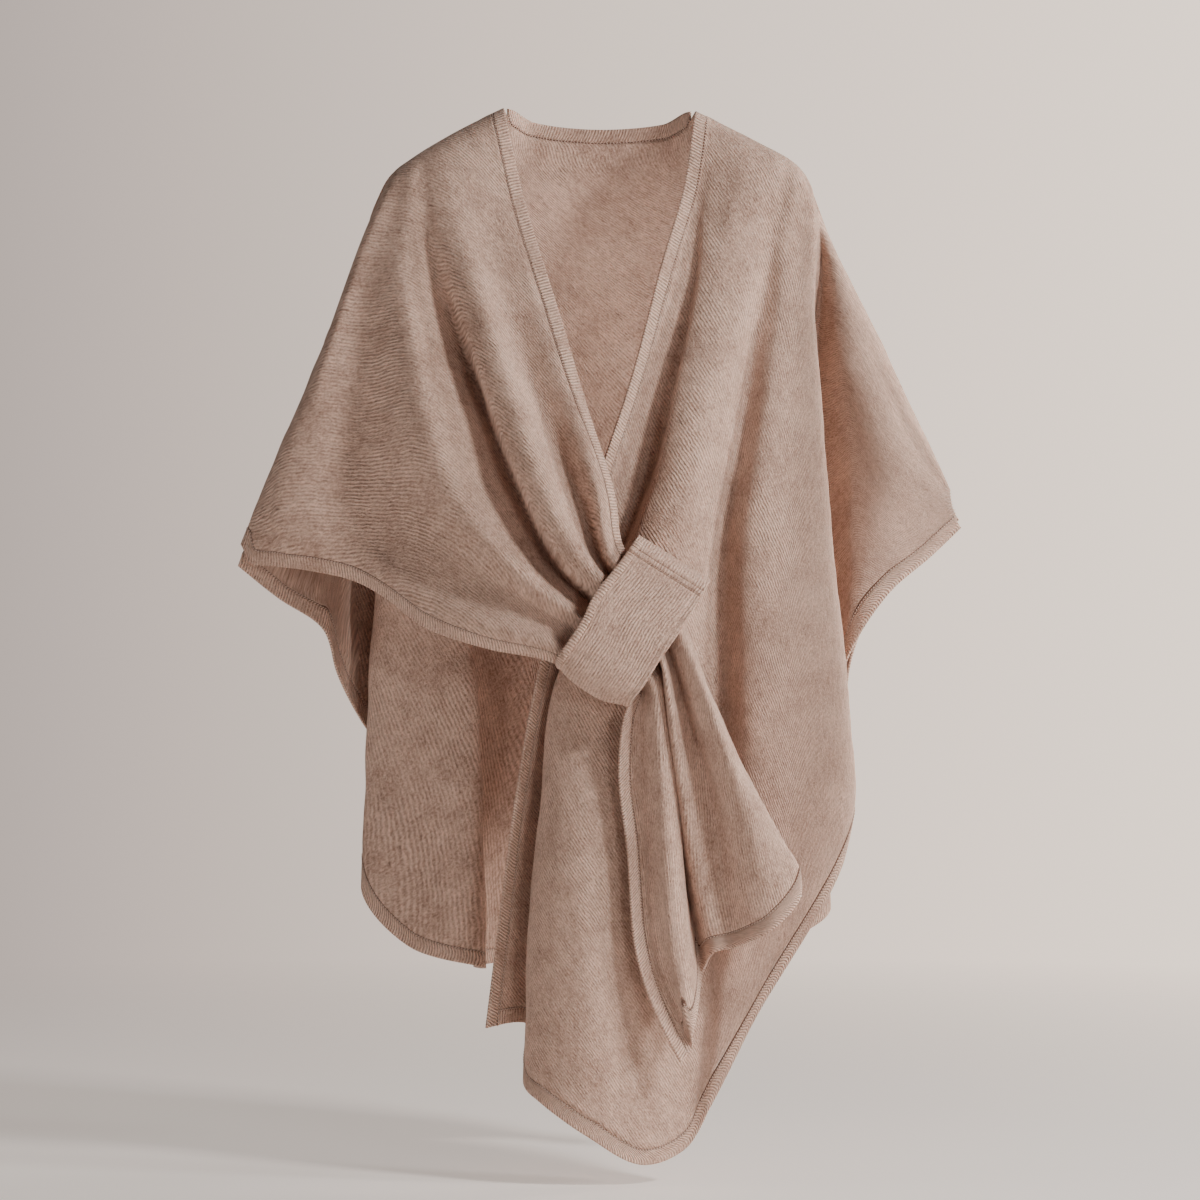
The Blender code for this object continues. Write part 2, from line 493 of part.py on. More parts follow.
def build():
    for old in list(bpy.data.objects):
        bpy.data.objects.remove(old, do_unlink=True)
    collection = bpy.data.collections.new("knit_wrap_cape")
    bpy.context.scene.collection.children.link(collection)
    knit = knit_material("fine_knit", KNIT)
    rib = knit_material("rib_band", RIB)

    def panel(name, sheet, stops, left=0.0, right=0.0, top=None, bottom=0.0, seam=SEAM_GAP, cell=CELL,
              extra=()):
        """A whole sheet, less the bands on its left, right, top and bottom edges."""
        last = sheet.count - 1

        def u_ends(v):
            start = sheet.inset_u(v, left, gap=seam) if left else np.zeros_like(v)
            stop = sheet.inset_u(v, right, last=True, gap=SEAM_GAP) if right else np.full_like(v, last)
            return start, stop

        def v_ends(u):
            start = top(u, FOLD_GAP) if top else np.zeros_like(u)
            stop = sheet.inset_v(u, bottom, gap=seam) if bottom else np.ones_like(u)
            return start, stop

        return lay(name, sheet, columns(sheet, 0, last, cell, extra), stops, WALL, knit, collection,
                   u_ends, v_ends)

    def side_band(name, sheet, stops, width, last=False):
        """The band along the first or the last fold line."""
        end = sheet.count - 1 if last else 0.0

        def u_ends(v):
            inner = sheet.inset_u(v, width, last)
            edge = np.full_like(v, end)
            return (inner, edge) if last else (edge, inner)

        us = (end - 1.0, end) if last else (0.0, 1.0)
        return lay(name, sheet, us, stops, BAND_WALL, rib, collection, u_ends)

    def hem_band(name, sheet, width, left=0.0, cell=CELL):
        """The band along the bottom, clear of a side band of the given width."""
        last = sheet.count - 1

        def u_ends(v):
            start = sheet.inset_u(np.ones_like(v), left, gap=SEAM_GAP) if left else np.zeros_like(v)
            return start, np.full_like(v, last)

        def v_ends(u):
            return sheet.inset_v(u, width), np.ones_like(u)

        return lay(name, sheet, columns(sheet, 0, last, cell), row_stops(1), BAND_WALL, rib, collection,
                   u_ends, v_ends)

    right = right_front_sheet()
    left = left_front_sheet()
    back = back_sheet()
    tail = tail_sheet()
    tab = tab_sheet()

    # Right front: the neck edge is its first line and the hem its last
    panel("right_front", right, row_stops(20, rim=True), left=FRONT_BAND, right=HEM_BAND)
    side_band("right_front_band", right, row_stops(20, rim=True), FRONT_BAND)
    side_band("right_front_hem", right, row_stops(20, rim=True), HEM_BAND, last=True)

    # Its tail below the tab: a banded edge, and a hem along the bottom
    panel("right_front_tail", tail, row_stops(18), left=FRONT_BAND, bottom=HEM_BAND,
          seam=TIGHT_FOLD_GAP, cell=TAIL_CELL)
    side_band("tail_edge_band", tail, row_stops(18), FRONT_BAND)
    hem_band("tail_hem", tail, HEM_BAND, left=FRONT_BAND, cell=TAIL_CELL)

    # Left front: the banded neck edge runs on down to the corner, then the hem runs to the tip
    panel("left_front", left, row_stops(22, rim=True), left=FRONT_BAND, bottom=HEM_BAND, seam=FOLD_GAP)
    side_band("left_front_band", left, row_stops(22, rim=True), FRONT_BAND)
    hem_band("left_front_hem", left, HEM_BAND, left=FRONT_BAND)

    # Back: the neck band fades out at the neck points, where the fronts' bands meet it
    first = next(k for k, row in enumerate(BACK) if row[1] == "neck")
    last = first + 4
    fade = (0.10, 0.28)
    neck_stops = [first + fade[0], first + fade[1], last - fade[1], last - fade[0]]

    def neck_top(u, gap=0.0):
        share = np.clip(np.minimum(u - first, last - u) / fade[1], 0.0, 1.0)
        return np.where(share > 0.0, back.inset_v(u, NECK_BAND * share, top=True, gap=gap), 0.0)

    panel("back", back, row_stops(14, rim=True), top=neck_top, bottom=HEM_BAND, extra=neck_stops)
    hem_band("back_hem", back, HEM_BAND)
    neck_us = columns(back, 0, len(BACK) - 1, extra=neck_stops)
    neck_us = neck_us[(neck_us >= neck_stops[0]) & (neck_us <= neck_stops[-1])]
    lay("back_neck_band", back, neck_us, row_stops(1), BAND_WALL, rib, collection,
        v_ends=lambda u: (np.zeros_like(u), neck_top(u)))

    # The loop tab is sewn down at its top and turns up behind the drawn cloth
    lay("loop_tab", tab, np.linspace(0.0, 2.0, 5), row_stops(24), TAB_WALL, rib, collection)


build()
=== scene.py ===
"""Looks of a knit wrap cape whose right front is drawn through a loop tab on the left front.

Lengths are metres unless a name or table says mm. The cape's own frame is +Z up, with the origin
between the two neck points. The viewer stands at -Y, so the garment's right side is at -X.

Every panel is a sheet of cloth laid through fold lines. A fold line runs down the cloth, and its
stations are given in mm: how far ACROSS the picture plane, how far DOWN from the neck points, and
how far OUT from the shoulder plane towards the viewer.
"""
import math

import bmesh
import bpy
import numpy as np
from mathutils import Matrix, Vector


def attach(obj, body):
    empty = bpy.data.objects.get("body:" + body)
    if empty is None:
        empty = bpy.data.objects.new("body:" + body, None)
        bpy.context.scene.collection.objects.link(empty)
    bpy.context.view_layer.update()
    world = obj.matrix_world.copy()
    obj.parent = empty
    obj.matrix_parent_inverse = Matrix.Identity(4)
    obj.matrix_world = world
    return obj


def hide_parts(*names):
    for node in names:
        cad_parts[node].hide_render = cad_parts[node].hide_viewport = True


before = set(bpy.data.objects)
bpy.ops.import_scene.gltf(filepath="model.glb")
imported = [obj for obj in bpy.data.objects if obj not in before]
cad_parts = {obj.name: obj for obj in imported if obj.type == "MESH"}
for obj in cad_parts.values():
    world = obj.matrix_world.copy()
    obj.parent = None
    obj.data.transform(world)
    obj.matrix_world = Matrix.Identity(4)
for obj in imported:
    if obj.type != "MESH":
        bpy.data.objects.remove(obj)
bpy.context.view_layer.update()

MM = 0.001

# Where the cape is seen from, and how it hangs
EYE_DISTANCE = 4.5          # in front of the shoulder plane
EYE_DOWN = 0.49             # below the neck points
LENS = 135.0
SENSOR = 36.0
FAR = 3.5                   # how far away the lights are
FLOOR_DOWN = 1.062          # the floor is just below the lowest corner

# Studio, linear colours
WALL_SHADE = (0.62, 0.52, 0.475, 1.0)   # the wall at the left edge of the picture
WALL_LIGHT = (1.75, 1.46, 1.24, 1.0)    # and at its right edge
WALL_RAMP = 0.14                        # from one to the other, as a share of the view direction
ROOM_LIGHT = (0.04, 0.034, 0.031, 1.0)  # what the whole room throws on the cape
FLOOR_COLOUR = (0.80, 0.74, 0.70, 1.0)
FLOOR_GLOW = (1.0, 0.88, 0.80, 1.0)
FLOOR_FADE = (1.25, 2.9)                # it fades out between these distances

# Cloth
WALL = 0.0018               # fine double-faced knit
BAND_WALL = 0.0024          # linked bands and ribbed hems are firmer
TAB_WALL = 0.0032           # the loop tab is doubled knit
SEAM_GAP = 0.0012           # between the pieces on each side of a seam
LINK = 0.0014               # how far the linking reaches into the cloth on each side of a seam
LINK_WALL = 0.0010          # it is thinner than the cloth that hides it
LEAST_SLANT = 0.42          # a hem that runs almost along the fold lines is inset this steeply
FRONT_BAND = 0.012          # width of the linked neck-edge bands
NECK_BAND = 0.013           # width of the band on the back neck
HEM_BAND = 0.014            # width of the ribbed hems
ROLL_OUT = 30.0             # mm, how far the cloth rounds forward over the shoulder and arm
ROLL_IN = 14.0              # mm, how far it comes in while it rounds

# The shoulder and arm line of each side: (across, down) from the neck point to the wing tip
RIGHT_RIM = ((-96, -1), (-150, 26), (-196, 55), (-209, 66), (-228, 107), (-250, 168), (-279, 244),
             (-308, 308), (-333, 372), (-359, 436))
LEFT_RIM = ((95, 2), (155, 32), (193, 53), (205, 66), (215, 96), (244, 161), (283, 241),
            (314, 305), (346, 372), (359, 408))
# The back neck: (across, down, out), between the neck points
BACK_NECK = ((-96, -1, -1), (-80, 8, -22), (-55, 15, -44), (0, 20, -60), (40, 19, -56), (65, 14, -42),
             (95, 2, -1))

# Each row is one fold line of the right front, from the arm to the loop tab.
# (name, millimetres along the shoulder and arm line, stations of (across, down, out))
RIGHT_FRONT = (
    ("neck edge", 0,
     (-78, 82, 34), (-40, 206, 72), (-13, 298, 98), (14, 384, 122), (25, 441, 134), (54, 468, 138)),
    ("lapel roll", 24,
     (-94, 100, 42), (-59, 208, 76), (-28, 297, 108), (-6, 370, 136), (13, 450, 152), (48, 479, 150)),
    ("lapel valley", 48,
     (-114, 116, 50), (-80, 240, 80), (-50, 318, 100), (-19, 396, 118), (4, 458, 128), (41, 489, 128)),
    ("main ridge", 70,
     (-148, 107, 54), (-115, 209, 92), (-90, 283, 116), (-61, 368, 142), (-20, 446, 155), (33, 499, 154)),
    ("ridge edge", 84,
     (-161, 113, 49), (-132, 215, 80), (-106, 289, 106), (-75, 370, 130), (-32, 450, 149), (26, 506, 146)),
    ("main valley", 94,
     (-171, 124, 40), (-146, 220, 46), (-118, 294, 60), (-87, 376, 80), (-42, 462, 110), (21, 513, 127)),
    ("valley side", 108,
     (-186, 132, 42), (-162, 232, 66), (-136, 304, 86), (-105, 384, 104), (-55, 467, 128), (18, 519, 134)),
    ("shoulder ridge", 126,
     (-204, 112, 33), (-195, 180, 60), (-176, 288, 97), (-141, 386, 120), (-70, 472, 144), (15, 527, 148)),
    ("arm valley", 176,
     (-236, 190, 34), (-229, 258, 42), (-212, 350, 62), (-160, 430, 94), (-80, 486, 126), (8, 538, 134)),
    ("arm", 330,
     (-288, 336, 42), (-258, 388, 42), (-226, 430, 54), (-170, 470, 90), (-92, 502, 126), (2, 547, 140)),
    ("hem roll", 440,
     (-322, 414, 32), (-286, 432, 40), (-250, 446, 46), (-198, 474, 78), (-118, 514, 128), (-46, 534, 146),
     (-5, 555, 146)),
    ("hem", 530,
     (-350, 452, 6), (-324, 456, 14), (-292, 460, 26), (-247, 470, 38), (-212, 489, 60), (-177, 516, 86),
     (-113, 538, 116), (-50, 551, 130), (-12, 569, 130)),
)

# The same front below the tab. Each row runs from under the tab down to the tail's hem, in
# stations of (across, down, out).
TAIL = (
    ("banded edge",
     (-7, 573, 131), (12, 580, 135), (29, 590, 139), (24, 608, 141), (21, 624, 141), (19, 668, 140),
     (27, 737, 140), (36, 843, 138), (49, 888, 136), (80, 952, 134)),
    ("edge hollow",
     (3, 557, 128), (22, 565, 129), (42, 576, 130), (41, 604, 131), (40, 624, 131), (40, 668, 130),
     (46, 737, 130), (55, 843, 131), (70, 888, 129), (92, 937, 125)),
    ("inner roll",
     (10, 547, 148), (30, 555, 150), (52, 574, 151), (57, 604, 152), (60, 637, 152), (63, 683, 152),
     (68, 760, 151), (75, 843, 146), (83, 890, 141), (92, 927, 133)),
    ("inner roll side",
     (17, 536, 136), (37, 545, 138), (61, 564, 140), (69, 604, 140), (75, 637, 139), (78, 683, 139),
     (82, 760, 139), (88, 833, 138), (93, 872, 133), (96, 906, 124)),
    ("inner hollow",
     (23, 525, 129), (42, 534, 128), (60, 552, 127), (65, 596, 125), (68, 637, 122), (74, 683, 118),
     (80, 740, 114), (87, 780, 111), (94, 815, 109), (103, 862, 108)),
    ("middle roll",
     (31, 512, 150), (47, 524, 154), (62, 552, 157), (70, 592, 157), (75, 630, 155), (81, 672, 151),
     (88, 718, 145), (97, 766, 139), (107, 808, 134), (116, 842, 131)),
    ("middle valley",
     (38, 501, 132), (55, 513, 134), (71, 546, 135), (81, 580, 134), (90, 612, 133), (101, 650, 133),
     (112, 700, 133), (120, 744, 133), (127, 792, 132), (133, 838, 132)),
    ("outer roll side",
     (43, 494, 146), (60, 506, 150), (77, 538, 154), (90, 572, 157), (101, 606, 158), (114, 646, 158),
     (129, 700, 156), (139, 744, 154), (147, 788, 151), (152, 831, 148)),
    ("outer roll",
     (50, 484, 152), (66, 499, 156), (83, 531, 160), (98, 566, 165), (111, 600, 168), (126, 642, 168),
     (147, 700, 166), (159, 740, 164), (169, 780, 160), (174, 819, 156)),
    ("outer edge",
     (58, 474, 142), (76, 494, 144), (90, 528, 147), (107, 576, 150), (122, 610, 151), (138, 646, 151),
     (161, 691, 150), (184, 734, 148), (199, 760, 146), (201, 782, 144)),
    ("turned under",
     (54, 479, 128), (72, 500, 130), (86, 534, 130), (102, 584, 129), (114, 616, 128), (128, 648, 127),
     (149, 690, 125), (168, 726, 124), (182, 750, 125), (187, 766, 127)),
)

# Each row is one fold line of the left front, from the shoulder and arm to the hem.
LEFT_FRONT = (
    ("neck edge", 0,
     (84, 76, 30), (62, 153, 53), (30, 273, 82), (5, 348, 94), (-28, 450, 95), (-59, 553, 90),
     (-82, 674, 80), (-101, 815, 72), (-114, 918, 70)),
    ("edge valley", 22,
     (99, 90, 29), (94, 176, 41), (76, 262, 51), (50, 362, 60), (10, 468, 68), (-37, 572, 60),
     (-55, 690, 48), (-65, 815, 44), (-71, 915, 42)),
    ("front fold edge", 42,
     (108, 92, 34), (102, 160, 52), (82, 263, 80), (57, 372, 94), (18, 470, 96), (-42, 567, 86),
     (-60, 690, 82), (-71, 849, 84), (-75, 976, 86)),
    ("front fold roll", 56,
     (120, 96, 38), (114, 166, 58), (94, 268, 88), (71, 372, 102), (34, 470, 104), (-28, 572, 98),
     (-48, 692, 106), (-58, 852, 110), (-60, 992, 110)),
    ("front fold crest", 74,
     (132, 100, 42), (128, 172, 60), (112, 273, 90), (91, 372, 102), (62, 470, 106), (20, 580, 105),
     (-10, 700, 124), (-14, 860, 130), (-14, 1026, 126)),
    ("front fold side", 92,
     (150, 106, 42), (146, 175, 56), (132, 262, 78), (114, 360, 88), (96, 455, 92), (76, 580, 96),
     (58, 700, 104), (46, 860, 108), (44, 1055, 106)),
    ("column valley", 110,
     (176, 120, 36), (166, 180, 42), (152, 250, 54), (142, 330, 62), (125, 430, 67), (122, 540, 69),
     (125, 640, 71), (117, 780, 77), (88, 1036, 84)),
    ("column side", 120,
     (186, 124, 38), (181, 186, 50), (170, 262, 70), (160, 345, 84), (146, 440, 90), (144, 545, 92),
     (148, 645, 92), (138, 780, 90), (110, 998, 86)),
    ("column", 130,
     (200, 128, 34), (197, 200, 52), (193, 290, 72), (192, 380, 84), (190, 480, 92), (194, 580, 94),
     (196, 680, 94), (180, 790, 92), (148, 922, 85)),
    ("ridge", 140,
     (214, 129, 30), (214, 205, 44), (221, 280, 60), (226, 353, 70), (233, 448, 76), (242, 536, 78),
     (250, 613, 78), (254, 680, 76), (247, 722, 74)),
    ("ridge side", 152,
     (216, 150, 24), (208, 220, 22), (206, 290, 24), (208, 350, 26), (211, 410, 26), (214, 460, 26),
     (216, 510, 26), (218, 585, 26), (218, 668, 26)),
    ("ridge pocket", 166,
     (222, 160, 16), (218, 225, 2), (217, 285, -6), (219, 335, -8), (221, 385, -8), (223, 430, -8),
     (225, 475, -8), (227, 540, -8), (228, 616, -8)),
    ("inner wing", 196,
     (236, 190, 32), (240, 240, 30), (246, 290, 26), (250, 335, 24), (253, 380, 24), (254, 420, 26),
     (254, 455, 28), (252, 490, 30), (249, 545, 34)),
    ("wing", 310,
     (280, 268, 30), (283, 295, 38), (285, 322, 42), (287, 348, 43), (289, 372, 42), (290, 396, 40),
     (291, 420, 37), (291, 444, 34), (290, 482, 32)),
    ("outer wing", 410,
     (320, 345, 22), (322, 359, 27), (324, 372, 29), (325, 385, 28), (326, 397, 27), (327, 409, 25),
     (328, 421, 23), (329, 433, 21), (330, 447, 19)),
    ("tip", 474,
     (351, 394, 10), (352, 398, 10), (354, 402, 10), (355, 406, 9), (356, 409, 9), (357, 412, 8),
     (358, 414, 8), (359, 416, 7), (361, 418, 7)),
)

# Each row is one fold line of the back, from the right wing tip round to the left one.
# (name, side whose arm line it starts on or "neck", millimetres along that line, stations)
BACK = (
    ("right tip", "right", 520,
     (-354, 437, -8), (-357, 442, -8), (-359, 448, -8), (-362, 456, -8)),
    ("right outer wing", "right", 440,
     (-322, 394, -22), (-322, 420, -24), (-322, 446, -24), (-322, 488, -22)),
    ("right wing", "right", 330,
     (-282, 320, -40), (-284, 390, -46), (-282, 440, -44), (-276, 520, -34)),
    ("right inner wing", "right", 200,
     (-246, 240, -50), (-253, 350, -60), (-259, 440, -60), (-262, 564, -52)),
    ("right pocket lip", "right", 134,
     (-214, 180, -66), (-234, 320, -84), (-243, 450, -88), (-240, 608, -84)),
    ("right pocket", "right", 122,
     (-204, 172, -70), (-210, 330, -102), (-206, 480, -114), (-200, 668, -114)),
    ("right pocket turn", "right", 113,
     (-196, 168, -66), (-202, 330, -88), (-197, 480, -94), (-191, 706, -92)),
    ("right flute edge", "right", 104,
     (-190, 176, -70), (-212, 340, -74), (-226, 500, -62), (-238, 778, -46)),
    ("right flute", "right", 90,
     (-176, 180, -76), (-188, 340, -70), (-188, 500, -38), (-190, 837, -14)),
    ("right flute side", "right", 74,
     (-158, 184, -80), (-150, 340, -72), (-132, 500, -24), (-118, 857, 2)),
    ("right flute pocket", "right", 56,
     (-140, 190, -84), (-128, 340, -96), (-126, 500, -86), (-124, 856, -76)),
    ("right back", "right", 32,
     (-118, 196, -90), (-104, 340, -110), (-94, 500, -118), (-92, 852, -118)),
    ("right shoulder end", "right", 9,
     (-99, 199, -93), (-80, 340, -116), (-70, 500, -124), (-66, 856, -130)),
    ("back neck right", "neck", 0,
     (-92, 200, -94), (-70, 340, -118), (-58, 500, -126), (-54, 858, -132)),
    ("neck curve right", "neck", 48,
     (-54, 200, -98), (-40, 340, -121), (-34, 500, -130), (-28, 866, -138)),
    ("centre back", "neck", 118,
     (0, 200, -102), (0, 340, -122), (2, 500, -132), (6, 872, -142)),
    ("neck curve left", "neck", 186,
     (56, 200, -98), (42, 340, -121), (38, 500, -130), (42, 870, -140)),
    ("back neck left", "neck", 1000,
     (90, 200, -94), (74, 340, -118), (68, 500, -128), (74, 864, -136)),
    ("left shoulder end", "left", 9,
     (98, 199, -93), (84, 340, -117), (79, 500, -127), (86, 860, -134)),
    ("left back fold", "left", 30,
     (120, 196, -90), (110, 340, -112), (106, 500, -122), (112, 852, -126)),
    ("left back", "left", 54,
     (142, 190, -86), (138, 340, -106), (136, 500, -112), (144, 846, -112)),
    ("left flute side", "left", 78,
     (160, 184, -80), (156, 340, -90), (152, 500, -78), (156, 838, -68)),
    ("left flute", "left", 92,
     (178, 182, -74), (184, 340, -74), (188, 500, -56), (196, 826, -42)),
    ("left flute edge", "left", 106,
     (192, 178, -70), (206, 340, -76), (216, 500, -62), (229, 802, -50)),
    ("left flute turn", "left", 115,
     (200, 176, -68), (203, 330, -88), (200, 480, -92), (198, 740, -92)),
    ("left flute pocket", "left", 124,
     (206, 178, -70), (208, 330, -100), (204, 470, -110), (202, 706, -112)),
    ("left pocket lip", "left", 142,
     (216, 190, -64), (226, 330, -90), (233, 440, -98), (238, 640, -96)),
    ("left inner wing", "left", 200,
     (242, 240, -50), (248, 340, -62), (251, 420, -62), (252, 545, -50)),
    ("left wing", "left", 310,
     (282, 306, -38), (284, 350, -44), (286, 400, -42), (288, 468, -34)),
    ("left outer wing", "left", 410,
     (320, 362, -22), (322, 382, -24), (324, 404, -22), (327, 434, -20)),
    ("left tip", "left", 474,
     (352, 398, -10), (354, 402, -10), (356, 406, -9), (359, 410, -8)),
)

# The loop tab, lengthwise: (across, down, out) at its left and its right edge, from the end that
# is sewn to the left front, over the drawn cloth, round the fold and up behind
TAB = (
    ((38, 426), (106, 469), 110),
    ((37, 428), (105, 471), 122),
    ((35, 431), (104, 474), 146),
    ((20, 452), (90, 502), 158),
    ((-8, 488), (70, 536), 164),
    ((-22, 516), (56, 556), 164),
    ((-36, 538), (40, 582), 162),
    ((-46, 553), (28, 597), 154),
    ((-48, 559), (24, 603), 138),
    ((-45, 554), (27, 598), 121),
    ((-34, 538), (38, 582), 115),
    ((-20, 518), (52, 562), 112),
)


def seen(across, down, out):
    """Return the point in metres that is seen at (across, down) and lies `out` nearer."""
    reach = (EYE_DISTANCE - out * MM) / EYE_DISTANCE
    eye_drop = EYE_DOWN / MM
    return (across * MM * reach, -out * MM, -(eye_drop + (down - eye_drop) * reach) * MM)


def spline(points, knots, where):
    """Cubic curve through points (..., n, 3) at increasing knots (..., n), read at where (...)."""
    step = np.diff(knots, axis=-1)
    slope = np.diff(points, axis=-2) / step[..., None]
    tangent = np.empty_like(points)
    before, after = step[..., :-1, None], step[..., 1:, None]
    tangent[..., 1:-1, :] = (slope[..., :-1, :] * after + slope[..., 1:, :] * before) / (before + after)
    tangent[..., 0, :] = 1.5 * slope[..., 0, :] - 0.5 * tangent[..., 1, :]
    tangent[..., -1, :] = 1.5 * slope[..., -1, :] - 0.5 * tangent[..., -2, :]
    span = np.clip((knots[..., 1:-1] <= where[..., None]).sum(axis=-1), 0, step.shape[-1] - 1)

    def pick(values, index):
        if values.ndim > index.ndim + 1:
            return np.take_along_axis(values, index[..., None, None], axis=-2)[..., 0, :]
        return np.take_along_axis(values, index[..., None], axis=-1)

    width = pick(step, span)
    s = (where[..., None] - pick(knots, span)) / width
    return (pick(points, span) * (2 * s**3 - 3 * s**2 + 1)
            + pick(tangent, span) * width * (s**3 - 2 * s**2 + s)
            + pick(points, span + 1) * (3 * s**2 - 2 * s**3)
            + pick(tangent, span + 1) * width * (s**3 - s**2))


def chords(points):
    """Distance along the points (..., n, 3), softened so that long spans don't swing."""
    gaps = np.linalg.norm(np.diff(points, axis=-2), axis=-1) ** 0.75
    gaps = np.maximum(gaps, 1e-6)
    return np.concatenate([np.zeros_like(gaps[..., :1]), np.cumsum(gaps, axis=-1)], axis=-1)


def along(points, distances):
    """Read a smooth curve through the points at the given distances from its start."""
    points = np.array(points, dtype=float)
    knots = chords(points)
    fine = np.linspace(0.0, knots[-1], 40 * len(points))
    curve = spline(np.broadcast_to(points, (len(fine),) + points.shape),
                   np.broadcast_to(knots, (len(fine), len(knots))), fine)
    run = np.concatenate([[0.0], np.cumsum(np.linalg.norm(np.diff(curve, axis=0), axis=1))])
    distances = np.clip(distances, 0.0, run[-1])
    return np.stack([np.interp(distances, run, curve[:, k]) for k in range(curve.shape[1])], axis=-1)


class Sheet:
    """Cloth laid through fold lines: u counts the lines, and v runs down them from 0 to 1."""

    ROWS = 161

    def __init__(self, lines):
        rows = []
        for line in lines:
            points = np.array([seen(*station) for station in line])
            length = np.linalg.norm(np.diff(points, axis=0), axis=1).sum()
            rows.append(along(points, np.linspace(0.0, 1.1 * length, self.ROWS * 4)))
        self.count = len(rows)
        self.lines = np.stack([self.even(row) for row in rows], axis=1)

    def even(self, row):
        """Space a fold line's points evenly."""
        run = np.concatenate([[0.0], np.cumsum(np.linalg.norm(np.diff(row, axis=0), axis=1))])
        wanted = np.linspace(0.0, run[-1], self.ROWS)
        return np.stack([np.interp(wanted, run, row[:, k]) for k in range(3)], axis=-1)

    def at(self, u, v):
        """Return the points at line numbers u and fractions v, both arrays of one shape."""
        u, v = np.broadcast_arrays(np.asarray(u, float), np.asarray(v, float))
        shape = u.shape
        u, v = u.ravel(), np.clip(v.ravel(), 0.0, 1.0)
        row = v * (self.ROWS - 1)
        low = np.minimum(row.astype(int), self.ROWS - 2)
        part = (row - low)[:, None, None]
        points = self.lines[low] * (1 - part) + self.lines[low + 1] * part
        knots = chords(points)
        line = np.clip(u.astype(int), 0, self.count - 2)
        start = np.take_along_axis(knots, line[:, None], axis=1)[:, 0]
        end = np.take_along_axis(knots, line[:, None] + 1, axis=1)[:, 0]
        where = start + (end - start) * (u - line)
        return spline(points, knots, where).reshape(shape + (3,))

    def slant(self, u, v, along_v):
        """Sine of the angle between the fold line and the edge that crosses it at (u, v)."""
        across = self.at(np.minimum(u + 0.05, self.count - 1), v) - self.at(np.maximum(u - 0.05, 0), v)
        down = self.at(u, np.minimum(v + 0.02, 1)) - self.at(u, np.maximum(v - 0.02, 0))
        if not along_v:
            across, down = down, across
        size = np.linalg.norm(across, axis=-1) * np.linalg.norm(down, axis=-1)
        return np.maximum(np.linalg.norm(np.cross(across, down), axis=-1) / size, LEAST_SLANT)

    def inset_u(self, v, distance, last=False, gap=0.0):
        """Return the u that lies `distance` square in from the first or last line, and a gap more."""
        v = np.asarray(v, float)
        steps = np.linspace(0.0, 0.92, 47)
        u = (self.count - 1 - steps) if last else steps
        slant = self.slant(np.full_like(v, u[0]), v, False)
        return self.reach(self.at(u[None, :], v[:, None]), u, distance / slant + gap / slant**2)

    def inset_v(self, u, distance, top=False, gap=0.0):
        """Return the v that lies `distance` square in from the bottom or top, and a gap more."""
        u = np.asarray(u, float)
        steps = np.linspace(0.0, 0.75, 151)
        v = steps if top else 1.0 - steps
        slant = self.slant(u, np.full_like(u, v[0]), True)
        return self.reach(self.at(u[:, None], v[None, :]), v, distance / slant + gap / slant**2)

    @staticmethod
    def reach(points, values, distance):
        """Return the value that each row of points has at its distance from the row's start."""
        run = np.cumsum(np.linalg.norm(np.diff(points, axis=1), axis=2), axis=1)
        run = np.concatenate([np.zeros((len(run), 1)), run], axis=1)
        return np.array([np.interp(d, r, values) for d, r in zip(distance, run)])


def rolled(rim, distance, stations, side=1):
    """Start a fold line on the arm line, rounding forward (side 1) or back (side -1)."""
    flat = [(a, d, 0.0) for a, d in rim]
    start = along(flat, np.array([distance], float))[0]
    first = np.array(stations[0], float)
    inward = first[:2] - start[:2]
    inward /= np.linalg.norm(inward)
    depth = min(ROLL_OUT, 0.7 * abs(first[2])) * side
    gap = 0.6 * SEAM_GAP / MM * side
    line = [(start[0], start[1], gap)]
    for turn in (14.0, 38.0, 68.0):
        angle = np.radians(turn)
        come_in = ROLL_IN * (1.0 - np.cos(angle)) * abs(depth) / ROLL_OUT
        line.append((start[0] + inward[0] * come_in, start[1] + inward[1] * come_in,
                     gap + depth * np.sin(angle)))
    return line + list(stations)


def right_front_sheet():
    return Sheet([rolled(RIGHT_RIM, distance, stations) for _, distance, *stations in RIGHT_FRONT])


def left_front_sheet():
    return Sheet([rolled(LEFT_RIM, distance, stations) for _, distance, *stations in LEFT_FRONT])


def back_sheet():
    lines = []
    for _, side, distance, *stations in BACK:
        if side == "neck":
            start = tuple(along(BACK_NECK, np.array([distance], float))[0])
            lines.append([start] + list(stations))
        else:
            rim = RIGHT_RIM if side == "right" else LEFT_RIM
            lines.append(rolled(rim, distance, stations, side=-1))
    return Sheet(lines)


def tail_sheet():
    return Sheet([stations for _, *stations in TAIL])


def tab_sheet():
    lines = []
    for part in (0.0, 0.5, 1.0):
        lines.append([(left[0] + (right[0] - left[0]) * part, left[1] + (right[1] - left[1]) * part, out)
                      for left, right, out in TAB])
    return Sheet(lines)


# ---------------------------------------------------------------- finishes

